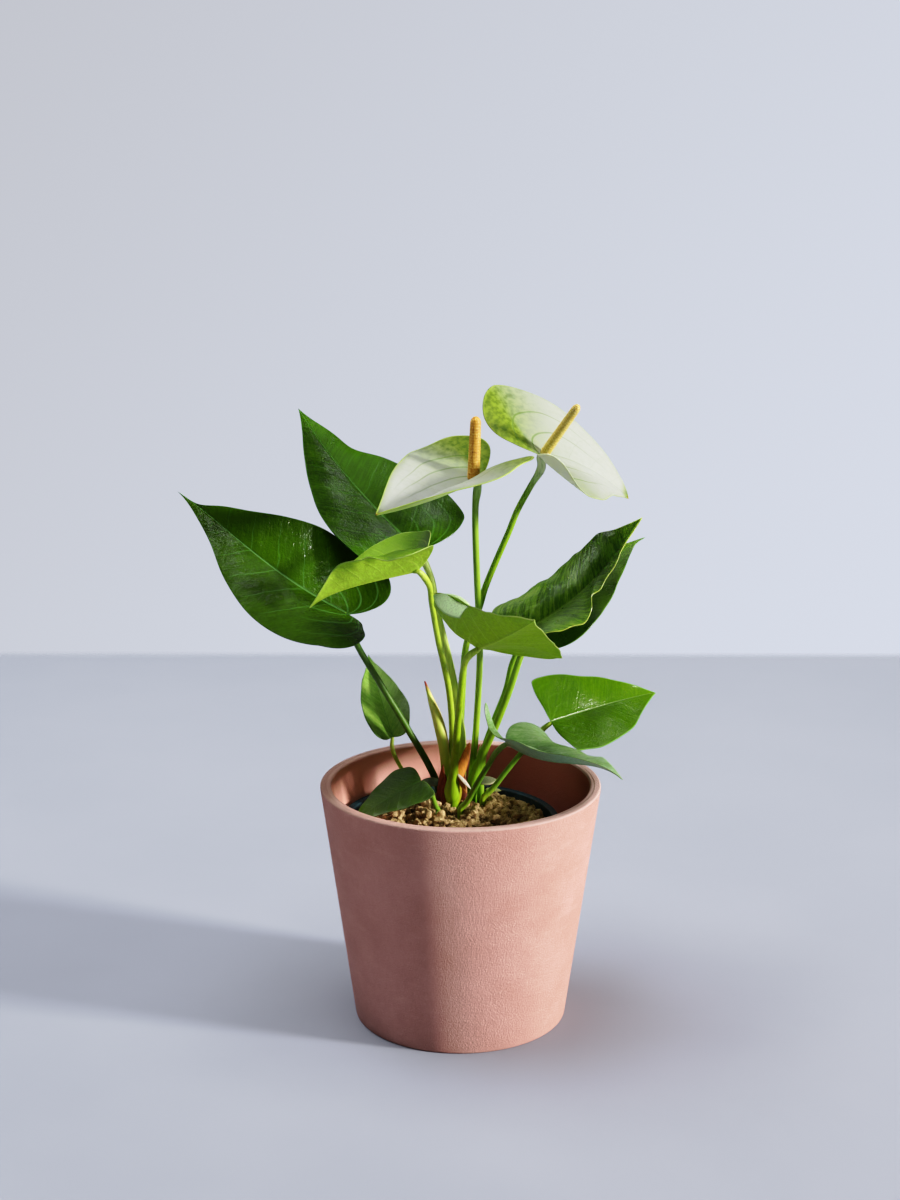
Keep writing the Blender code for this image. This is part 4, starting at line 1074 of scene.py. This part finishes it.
def make_stalk_finish(name, top, middle, foot, blush):
    """Petiole or flower stem: smooth green, paler at the joint, with faint long streaks and specks."""
    finish = Finish(name)
    length, along, turn = finish.parts(finish.attribute("stem"))
    place = finish.place()
    streaks = finish.noise(finish.stretched(place, (1.0, 1.0, 0.06)), 0.9, detail=2)
    specks = finish.cells(finish.stretched(place, (1.0, 1.0, 0.45)), 1.1)
    reddish = finish.step(along, 0.6, 0.85) * finish.step(turn, 0.55, 0.95) * blush
    colour = finish.layers(top, (finish.step(length, 2, 26), middle), (finish.step(along, 0.55, 1.0), foot),
                           (finish.step(streaks, 0.45, 0.7) * 0.55, tuple(0.6 * c for c in middle)),
                           ((1 - finish.step(specks, 0.08, 0.2)) * 0.3, (0.42, 0.55, 0.16)),
                           (reddish, (0.30, 0.06, 0.02)))
    height = 0.05 * streaks + 0.03 * finish.step(specks, 0.05, 0.2)
    return finish.dress(colour, 0.36 + 0.12 * streaks, finish.relief(height), LEAF_FLESH)


def make_spadix_finish(label, colours, speckle):
    """Spadix: pale florets over a deeper yellow, some of them brown."""
    finish = Finish(label)
    raised = finish.parts(finish.attribute("floret"))[0]
    place = finish.place()
    pale, deep, brown = colours
    bead = 1 - finish.step(finish.cells(place, 1.15), 0.2, 0.6)
    speck = finish.step(finish.noise(place, 2.2, detail=3), 0.5, 0.66) * bead * speckle
    colour = finish.layers(deep, (finish.step(raised, -0.5, 0.8) * 0.35 + bead * 0.65, pale),
                           (speck, brown))
    grain = 0.08 * finish.noise(place, 0.4, detail=2)
    return finish.dress(colour, 0.55, finish.relief(grain), SPADIX_FLESH)


def make_spadix(name, colours, speckle):
    """A spike that is covered in florets, in two sets of spirals."""
    blade, spadix, label = BLADES[name], SPADICES[name], name + "_spadix"
    zero = np.zeros(1)
    normal = blade_normals(blade, zero + SPADIX_SEAT, zero, 1)[0]
    seat = bend(blade, zero + SPADIX_SEAT, zero, 1)[0] + normal * 0.1
    rise = np.array(spadix.tip, float) - seat
    length = np.linalg.norm(rise)
    first = unit(np.cross(rise, (0.0, 1.0, 0.0)))
    second = np.cross(rise / length, first)
    along = np.linspace(0, 1, SPADIX_RINGS)[:, None]
    angles = np.linspace(0, math.tau, SPADIX_SIDES, endpoint=False)[None, :]
    low, high = spadix.radii
    top_rounding = np.sqrt(np.clip(1 - np.clip((along - 0.9) / 0.1, 0, 1) ** 2, 0.02, 1))
    body = (low + (high - low) * along) * top_rounding * np.clip(0.72 + along * 6, 0, 1)
    turns = FLORETS_ROUND * angles
    climb = along * length / FLORET_PITCH * math.pi
    pattern = np.cos(turns + climb) * np.cos(turns - climb)
    radius = body + FLORET_RELIEF * pattern * top_rounding
    spokes = np.cos(angles)[..., None] * first + np.sin(angles)[..., None] * second
    points = seat + along[..., None] * rise + spokes * radius[..., None]
    notes = np.stack(np.broadcast_arrays(pattern, along, angles), -1)
    mesh = tube_mesh(label + "_fine", points, "floret", notes)
    show(label + "_fine", mesh, make_spadix_finish(label, colours, speckle), [label])


def turned(name, profile, centre):
    """A solid of revolution, spun from a profile that starts and ends on the axis."""
    shape = bmesh.new()
    corners = [shape.verts.new((radius * MM, 0, height * MM)) for radius, height in profile]
    edges = [shape.edges.new(pair) for pair in zip(corners[:-1], corners[1:])]
    bmesh.ops.spin(shape, geom=corners + edges, cent=(0, 0, 0), axis=(0, 0, 1), angle=math.tau,
                   steps=POT_SEGMENTS, use_merge=True)
    bmesh.ops.remove_doubles(shape, verts=shape.verts, dist=MERGE_DISTANCE)
    bmesh.ops.recalc_face_normals(shape, faces=shape.faces)
    bmesh.ops.translate(shape, verts=shape.verts, vec=(centre[0] * MM, centre[1] * MM, 0))
    return finished(shape, bpy.data.meshes.new(name))


def rounded(profile, radius, steps=5):
    """The profile with each inner corner rounded."""
    out = [profile[0]]
    for before, corner, after in zip(profile[:-2], profile[1:-1], profile[2:]):
        before, corner, after = (np.array(p, float) for p in (before, corner, after))
        to_before, to_after = before - corner, after - corner
        reach = min(radius, np.linalg.norm(to_before) / 2.01, np.linalg.norm(to_after) / 2.01)
        start, end = corner + unit(to_before) * reach, corner + unit(to_after) * reach
        for t in np.linspace(0, 1, steps):
            out.append(tuple((1 - t) ** 2 * start + 2 * t * (1 - t) * corner + t**2 * end))
    return [*out, profile[-1]]


def pot_radius(height):
    """The cover pot's outer radius at a height."""
    return POT_BASE_RADIUS + (POT_RIM_RADIUS - POT_BASE_RADIUS) * height / POT_HEIGHT


def make_terracotta():
    """Matte pinkish terracotta: sandy grain, soft blotches, faint brushing, redder and smoother inside,
    with painted light and shade inside and on the rim.
    """
    finish = Finish("terracotta")
    place = finish.place()
    x, y, z = finish.parts(place)
    inside = finish.step(pot_radius(z) - POT_WALL * 0.6 - finish.maths("SQRT", x * x + y * y), -0.5, 0.5)
    blotches = finish.noise(place, 26, detail=4, roughness=0.55)
    brushed = finish.noise(finish.stretched(place, (1.0, 1.0, 0.45)), 2.6, detail=4, roughness=0.65)
    smears = finish.noise(finish.stretched(place, (0.35, 0.35, 1.3)), 5, detail=4)
    grain = finish.noise(place, 0.95, detail=4, roughness=0.75)
    specks = finish.cells(place, 1.4)
    # Painted light and shade: the inner wall is bright pink on the left, where light falls in, and dark on
    # the right, in shade; the rim is lighter on the right, towards the light.
    inside_painted_shading = finish.blend(finish.step(x, -50, 35), (1.0, 0.48, 0.38), (0.32, 0.085, 0.05))
    rim_painted_light = finish.blend(finish.step(x, -60, 60), (0.52, 0.32, 0.27), (0.72, 0.48, 0.43))
    colour = finish.layers(
        (0.58, 0.300, 0.245), (finish.step(blotches, 0.3, 0.7), (0.65, 0.350, 0.295)),
        (finish.step(brushed, 0.35, 0.75) * 0.2, (0.52, 0.25, 0.20)),
        (finish.step(smears, 0.5, 0.8) * 0.25, (0.76, 0.45, 0.385)),
        (finish.step(grain, 0.5, 0.78) * 0.36, (0.80, 0.52, 0.45)),
        (finish.step(grain, 0.45, 0.22) * 0.4, (0.42, 0.19, 0.15)),
        ((1 - finish.step(specks, 0.04, 0.12)) * 0.5, (0.34, 0.16, 0.13)),
        (inside * 0.85, inside_painted_shading),
        (finish.step(z, POT_HEIGHT - 1.2, POT_HEIGHT - 0.4) * 0.85, rim_painted_light),
    )
    height = (0.62 * grain + 0.16 * brushed + 0.14 * smears) * (1 - 0.6 * inside)
    roughness = 0.78 - 0.3 * inside + 0.1 * (grain - 0.5)
    return finish.dress(colour, roughness, finish.relief(height), {"Specular IOR Level": 0.4})


def make_cover_pot():
    profile = [
        (0, 0), (pot_radius(0), 0), (pot_radius(POT_HEIGHT), POT_HEIGHT),
        (pot_radius(POT_HEIGHT) - POT_WALL, POT_HEIGHT), (pot_radius(POT_FLOOR) - POT_WALL, POT_FLOOR),
        (0, POT_FLOOR),
    ]
    mesh = turned("cover_pot_fine", rounded(profile, POT_ROUNDING), (0, 0))
    show("cover_pot_fine", mesh, make_terracotta(), ["cover_pot"], sharp_angle=60)


def inner_radius(height):
    """The nursery pot's outer wall radius at a height, under its lip."""
    widening = (INNER_RIM_RADIUS - INNER_LIP - INNER_BASE_RADIUS) / (INNER_RIM_Z - INNER_FOOT)
    return INNER_BASE_RADIUS + widening * (height - INNER_FOOT)


def make_nursery_pot():
    under_lip = INNER_RIM_Z - INNER_LIP_DEPTH
    floor = INNER_FOOT + INNER_FLOOR
    profile = [
        (0, INNER_FOOT), (inner_radius(INNER_FOOT), INNER_FOOT), (inner_radius(under_lip), under_lip),
        (INNER_RIM_RADIUS, under_lip), (INNER_RIM_RADIUS, INNER_RIM_Z),
        (inner_radius(INNER_RIM_Z) - INNER_WALL, INNER_RIM_Z), (inner_radius(floor) - INNER_WALL, floor),
        (0, floor),
    ]
    mesh = turned("nursery_pot_fine", rounded(profile, INNER_ROUNDING), INNER_CENTRE)
    finish = Finish("teal_plastic")
    place = finish.place()
    scuffs = finish.noise(finish.stretched(place, (1.0, 1.0, 0.2)), 4, detail=4)
    dust = finish.step(finish.noise(place, 2.0, detail=4), 0.55, 0.75)
    colour = finish.layers((0.006, 0.03, 0.04), (finish.step(scuffs, 0.45, 0.8), (0.02, 0.06, 0.075)),
                           (dust * 0.35, (0.16, 0.12, 0.08)))
    material = finish.dress(colour, 0.42 + 0.2 * scuffs, finish.relief(0.06 * scuffs))
    show("nursery_pot_fine", mesh, material, ["nursery_pot"], sharp_angle=60)


def soil_height(x, y, waves):
    """The soil's top at a point, measured from the nursery pot's middle."""
    reach = np.hypot(x, y) / INNER_RIM_RADIUS
    base = SOIL_MIDDLE_Z - (SOIL_MIDDLE_Z - SOIL_EDGE_Z) * reach**2.5
    lump = SOIL_LUMP * np.tanh(wave_sum(waves, x, y) / 2.5)
    return base + lump * (1 - reach**6)


def make_soil_finish(name, tan, dark):
    """Dry peat and bark: tan crumbs, fibres and a few pale bits, with painted light on the bumps and
    painted shade in the dark hollows.
    """
    finish = Finish(name)
    place = finish.place()
    coarse = finish.noise(place, 5, detail=5, roughness=0.65)
    fine = finish.noise(place, 0.7, detail=4, roughness=0.75)
    fibres = finish.noise(finish.stretched(place, (1.0, 0.2, 0.6)), 1.2, detail=3)
    # Along with the peat's own tones, the colour follows the relief's noise: lighter where it rises and
    # dark where it falls, a painted light on the bumps and painted shade in the hollows.
    colour = finish.layers(
        dark, (finish.step(coarse, 0.3, 0.65), tan),
        (finish.step(fine, 0.35, 0.7) * 0.5, tuple(1.25 * c for c in tan)),
        (finish.step(fine, 0.5, 0.25) * 0.6, (0.05, 0.028, 0.012)),
        (finish.step(fibres, 0.6, 0.8) * 0.4, (0.55, 0.40, 0.20)),
        ((1 - finish.step(finish.cells(place, 2.3), 0.05, 0.16)) * 0.5, (0.78, 0.66, 0.44)),
    )
    height = 0.7 * coarse + 0.9 * fine + 0.2 * fibres
    return finish.dress(colour, 0.92, finish.relief(height), {"Specular IOR Level": 0.25})


def make_soil():
    """The soil's lumpy top and its sides, finer than the CAD's."""
    waves = seeded_waves(SOIL_SEED, SOIL_WAVES, SOIL_WAVE_LENGTHS)
    small = seeded_waves(SOIL_SEED + 1, SMALL_WAVES, SMALL_WAVE_LENGTHS)
    cx, cy = INNER_CENTRE
    edge_radius = inner_radius(SOIL_EDGE_Z) - INNER_WALL - CAD_GAP
    radii = edge_radius * np.linspace(0, 1, SOIL_RINGS + 1)[1:, None]
    angles = np.linspace(0, math.tau, SOIL_SEGMENTS, endpoint=False)[None, :]
    x, y = radii * np.cos(angles), radii * np.sin(angles)
    rough = SMALL_LUMP * np.tanh(wave_sum(small, x, y) / 3)
    z = soil_height(x, y, waves) + rough * (1 - (radii / edge_radius) ** 8)
    top = np.stack([cx + x, cy + y, z], -1).reshape(-1, 3)
    bottom_z = INNER_FOOT + INNER_FLOOR + CAD_GAP
    foot_radius = inner_radius(bottom_z) - INNER_WALL - CAD_GAP
    foot = np.stack([cx + foot_radius * np.cos(angles[0]), cy + foot_radius * np.sin(angles[0]),
                     np.full(SOIL_SEGMENTS, bottom_z)], -1)
    middle = [[cx, cy, float(soil_height(0.0, 0.0, waves))], [cx, cy, bottom_z]]
    points = np.concatenate([top, foot, middle])
    faces, total = grid_faces(SOIL_RINGS + 1, SOIL_SEGMENTS, around=True), SOIL_RINGS * SOIL_SEGMENTS
    for i in range(SOIL_SEGMENTS):
        k = (i + 1) % SOIL_SEGMENTS
        faces.append((total + SOIL_SEGMENTS, i, k))
        faces.append((total + SOIL_SEGMENTS + 1, total + k, total + i))
    # The bed's colours are darker than the crumbs': a painted shade between them.
    bed = make_soil_finish("growing_medium", (0.28, 0.18, 0.08), (0.035, 0.02, 0.010))
    mesh = mesh_from("soil_fine", points, faces)
    show("soil_fine", mesh, bed, ["soil"], sharp_angle=75)
    make_crumbs(waves, edge_radius)


def make_crumbs(waves, edge_radius):
    """Loose crumbs that lie on the soil, clear of the stems."""
    cx, cy = INNER_CENTRE
    draw = np.random.default_rng(SOIL_SEED)
    small_ball, large_ball = ball(1), ball(2)
    stems = [(*stem.foot, stem.radii[2]) for stem in [*STALKS.values(), SHOOT]]
    smallest, largest = CRUMB_SIZES
    points, faces, total = [], [], 0
    for _ in range(CRUMBS):
        size = smallest + (largest - smallest) * draw.uniform() ** 6
        radius = (edge_radius - size) * math.sqrt(draw.uniform())
        angle = draw.uniform(0, math.tau)
        px, py = radius * math.cos(angle), radius * math.sin(angle)
        squash = draw.uniform(0.55, 1.0, 3)
        turns = draw.uniform(0, math.tau, 3)
        corners, sides = large_ball if size > 1.0 else small_ball
        bumps = draw.uniform(0.72, 1.2, (len(corners), 1))
        if any(math.hypot(px + cx - sx, py + cy - sy) <= size + sr for sx, sy, sr in stems):
            continue
        height = float(soil_height(px, py, waves)) + size * 0.25
        points.append((corners * bumps * squash * size) @ rotation(turns).T + (cx + px, cy + py, height))
        faces.extend((sides + total).tolist())
        total += len(corners)
    loose = make_soil_finish("crumbs", (0.74, 0.53, 0.27), (0.24, 0.15, 0.065))
    mesh = mesh_from("soil_crumbs", np.concatenate(points), faces)
    show("soil_crumbs", mesh, loose, [], sharp_angle=25)


def ball(subdivisions):
    """The points and triangles of a round lump."""
    shape = bmesh.new()
    bmesh.ops.create_icosphere(shape, subdivisions=subdivisions, radius=1.0)
    points = np.array([tuple(vertex.co) for vertex in shape.verts])
    faces = np.array([[vertex.index for vertex in face.verts] for face in shape.faces])
    shape.free()
    return points, faces


def rotation(turns):
    """A rotation from three angles."""
    a, b, c = turns
    about_z = np.array([[math.cos(a), -math.sin(a), 0], [math.sin(a), math.cos(a), 0], [0, 0, 1]])
    about_y = np.array([[math.cos(b), 0, math.sin(b)], [0, 1, 0], [-math.sin(b), 0, math.cos(b)]])
    about_x = np.array([[1, 0, 0], [0, math.cos(c), -math.sin(c)], [0, math.sin(c), math.cos(c)]])
    return about_z @ about_y @ about_x


def make_stalks():
    for name, colours in STALK_COLOURS.items():
        label = name + ("_stem" if name.startswith("bloom") else "_petiole")
        path = stalk_path(name, STALK_RINGS)
        mesh = make_tube(label + "_fine", path, stalk_radii(name, path))
        material = make_stalk_finish(label, *colours, BLUSHES.get(name, 0.0))
        show(label + "_fine", mesh, material, [label])


def make_shoot():
    """A rolled new leaf: yellow-green with a pinkish side and a red tip."""
    path = rooted(SHOOT.through, SHOOT.foot, STALK_RINGS)
    along = share_of_length(path)
    tip, middle, foot = SHOOT.radii
    widening = np.sin(np.minimum(along, 0.5) * math.pi) ** 0.8
    radii = tip + (middle - tip) * widening + (foot - middle) * np.clip(along - 0.5, 0, 1) * 2
    radii = radii + 0.6 * np.sin(np.clip(along * 1.6, 0, 1) * math.pi) ** 2
    mesh = make_tube("new_shoot_fine", path, radii, sides=40, overlap=0.09)
    finish = Finish("new_shoot")
    length, share, turn = finish.parts(finish.attribute("stem"))
    streaks = finish.noise(finish.stretched(finish.place(), (1.0, 1.0, 0.1)), 1.0, detail=3)
    blush = finish.step(turn, 0.45, 0.95) * (1 - finish.step(share, 0.4, 0.75))
    colour = finish.layers(
        (0.70, 0.80, 0.16), (finish.step(share, 0.1, 0.8), (0.52, 0.70, 0.09)),
        (finish.step(streaks, 0.4, 0.7) * 0.3, (0.56, 0.66, 0.20)), (blush * 0.6, (0.90, 0.58, 0.30)),
        (1 - finish.step(length, 1.0, 7.0), (0.40, 0.05, 0.03)))
    material = finish.dress(colour, 0.4, finish.relief(0.08 * streaks), LEAF_FLESH)
    show("new_shoot_fine", mesh, material, ["new_shoot"])


def closed_sheet(name, middle, normal, half, notes):
    """A thin body from a grid of points: both faces, which meet all round where its half thickness is 0."""
    offset = normal * half[..., None]
    points = np.concatenate([middle + offset, middle - offset]).reshape(-1, 3)
    faces = grid_faces(*half.shape)
    faces += [tuple(i + half.size for i in reversed(face)) for face in faces]
    return closed(mesh_from(name, points, faces, {"scale": [notes, notes]}), merge=True)


def make_scale_finish(name, colours):
    """Dry tissue: from one colour to another along it, with dark fibres and its own edge colour."""
    finish = Finish(name)
    along, across, _ = finish.parts(finish.attribute("scale"))
    fibres = finish.noise(finish.stretched(finish.place(), (1.0, 1.0, 0.25)), 0.7, detail=3, roughness=0.6)
    at_base, at_tip, at_edge = colours
    colour = finish.layers(at_base, (along, at_tip),
                           (finish.step(fibres, 0.4, 0.7) * 0.5, tuple(0.45 * c for c in at_base)),
                           (finish.step(across, 0.55, 0.95) * 0.8, at_edge))
    return finish.dress(colour, 0.55, finish.relief(0.12 * fibres), LEAF_FLESH)


def make_scale(name, scale):
    base, tip = np.array(scale.base, float), np.array(scale.tip, float)
    ahead = unit(tip - base)
    back = np.array(scale.facing, float)
    back = unit(back - ahead * (back @ ahead))
    aside = np.cross(ahead, back)
    along = np.linspace(0, 1, SCALE_ROWS)[:, None]
    across = np.linspace(-1, 1, SCALE_COLUMNS)[None, :]
    profile = np.sin(math.pi * np.clip(scale.start + along * (1 - scale.start), 0, 1)) ** 0.75
    half_width = scale.width / 2 * profile
    angle = across * math.radians(scale.wrap) / 2
    radius = half_width / math.radians(scale.wrap / 2)
    out = radius * (np.cos(angle) - 1) + scale.bow * np.sin(math.pi * along)
    place = (base + along[..., None] * (tip - base) + (radius * np.sin(angle))[..., None] * aside
             + out[..., None] * back)
    normal = unit(np.cos(angle)[..., None] * back + np.sin(angle)[..., None] * aside)
    off_margin = (1 - np.abs(across)) * half_width
    half = SCALE_THICKNESS / 2 * np.sqrt(np.clip(off_margin / 0.4, 0, 1))
    half[0], half[-1] = 0, 0
    notes = np.stack(np.broadcast_arrays(along, np.abs(across), off_margin), -1)
    mesh = closed_sheet(name, place, normal, half, notes)
    show(name, mesh, make_scale_finish(name, scale.colours), [])


def make_crown():
    """The dry sheaths, scraps and small dead leaves between the stalks, and leaf 4's turned lobe."""
    for name, scale in SCALES.items():
        make_scale(name, scale)


def make_leaves_and_blooms():
    for name, look in LOOKS.items():
        blade, label = BLADES[name], name + "_blade"
        mesh = make_blade(name, label + "_fine", look.vein_spacing, look.quilt, look.wave, look.seed)
        show(label + "_fine", mesh, make_leaf_finish(label, blade, look), [label])
    for name, look in SPATHE_LOOKS.items():
        blade, label = BLADES[name], name + "_spathe"
        mesh = make_blade(name, label + "_fine", SPATHE_VEIN_SPACING, SPATHE_QUILT, SPATHE_WAVE, look.seed)
        show(label + "_fine", mesh, make_spathe_finish(label, blade, look), [label])
    for name, look in SPATHE_LOOKS.items():
        make_spadix(name, look.spadix, look.speckle)


def make_table():
    """A plain table top, lighter towards the back as a painted light. It fades out at its back edge, and
    far off it glows as softly as the room.
    """
    shape = bmesh.new()
    back = TABLE_BACK + TABLE_FADE
    corners = [(-TABLE_REACH, -TABLE_REACH, 0), (TABLE_REACH, -TABLE_REACH, 0), (TABLE_REACH, back, 0),
               (-TABLE_REACH, back, 0)]
    shape.faces.new([shape.verts.new(corner) for corner in corners])
    mesh = finished(shape, bpy.data.meshes.new("table"))
    finish = Finish("table_top")
    place = finish.place()
    x, y, _ = finish.parts(place)
    cloud = finish.step(finish.noise(place, 160, detail=3), 0.3, 0.7)
    dust = 1 - finish.step(finish.cells(place, 9), 0.012, 0.03)
    # The top turns lighter towards the back: a painted light.
    colour = finish.layers(
        (0.320, 0.336, 0.392), (finish.step(y, -500, 700), (0.375, 0.398, 0.468)),
        (cloud * 0.1, (0.50, 0.52, 0.60)), (dust * 0.4, (0.30, 0.31, 0.36)))
    far = finish.step(finish.maths("SQRT", x * x + y * y), 1000, 3000)
    edge = 1 - finish.step(y, (TABLE_BACK - TABLE_FADE) / MM, (TABLE_BACK + TABLE_FADE) / MM)
    mesh.materials.append(finish.dress(colour, 0.9, own={
        "Emission Color": finish.blend(far, (0.0, 0.0, 0.0), (0.27, 0.29, 0.34)), "Emission Strength": 1.0,
        "Specular IOR Level": 0.05, "Alpha": edge}))
    table = bpy.data.objects.new("table", mesh)
    bpy.context.collection.objects.link(table)


def make_backdrop():
    """A plain glowing backdrop all round that only the camera sees, brighter to the right and lower down as
    a painted light.
    """
    shape = bmesh.new()
    bmesh.ops.create_uvsphere(shape, u_segments=96, v_segments=48, radius=BACKDROP_RADIUS)
    mesh = finished(shape, bpy.data.meshes.new("backdrop"))
    mesh.shade_smooth()
    finish = Finish("backdrop_paint")
    x, _, z = finish.parts(finish.place())
    # Brighter to the right and lower down: a painted light.
    brighter = finish.step(x - z * 0.8, -4000, 4000)
    mesh.materials.append(finish.dress((0.0, 0.0, 0.0), 1.0, own={
        "Emission Color": finish.blend(brighter, (0.49, 0.50, 0.55), (0.70, 0.755, 0.91)),
        "Emission Strength": 1.0, "Specular IOR Level": 0.0}))
    backdrop = bpy.data.objects.new("backdrop", mesh)
    bpy.context.collection.objects.link(backdrop)
    backdrop.visible_diffuse = False
    backdrop.visible_glossy = False
    backdrop.visible_shadow = False


def make_light():
    """Square soft lights that face the plant, and a dim warm room."""
    for name, light in LIGHTS.items():
        data = bpy.data.lights.new(name, "AREA")
        data.shape = "SQUARE"
        data.size = light.size
        data.energy = light.power
        data.color = light.colour
        lamp = bpy.data.objects.new(name, data)
        azimuth, elevation = math.radians(light.azimuth), math.radians(light.elevation)
        lamp.location = np.array(LIGHT_AIM) + direction(azimuth, elevation) * light.distance
        lamp.rotation_euler = (math.pi / 2 - elevation, 0, azimuth + math.pi / 2)
        lamp.visible_camera = False
        lamp.visible_diffuse = light.diffuse
        lamp.visible_glossy = light.glossy
        bpy.context.collection.objects.link(lamp)
    world = bpy.data.worlds.new("room")
    world.use_nodes = True
    background = world.node_tree.nodes["Background"]
    background.inputs["Color"].default_value = (0.72, 0.65, 0.60, 1.0)
    background.inputs["Strength"].default_value = 0.08
    bpy.context.scene.world = world


def make_camera():
    """The photograph's view, from the cover pot's rim and base ellipses."""
    camera = bpy.data.cameras.new("camera")
    camera.lens = 60.6
    camera.sensor_width = 36
    camera.clip_start = 0.05
    view = bpy.data.objects.new("camera", camera)
    view.location = (0, -1.0247, 0.481)
    view.rotation_euler = (math.radians(76.242), 0, 0.00547)
    bpy.context.collection.objects.link(view)
    bpy.context.scene.camera = view


def make_exposure():
    """A plain view transform under a soft contrast curve."""
    view = bpy.context.scene.view_settings
    view.view_transform = "Standard"
    view.use_curve_mapping = True
    mapping = view.curve_mapping
    mapping.white_level = (WHITE_LEVEL, WHITE_LEVEL, WHITE_LEVEL)
    for light, tone in TONES:
        mapping.curves[3].points.new(light / WHITE_LEVEL, tone)
    mapping.update()


make_camera()
make_exposure()
make_light()
make_table()
make_backdrop()
make_cover_pot()
make_nursery_pot()
make_soil()
make_leaves_and_blooms()
make_stalks()
make_shoot()
make_crown()
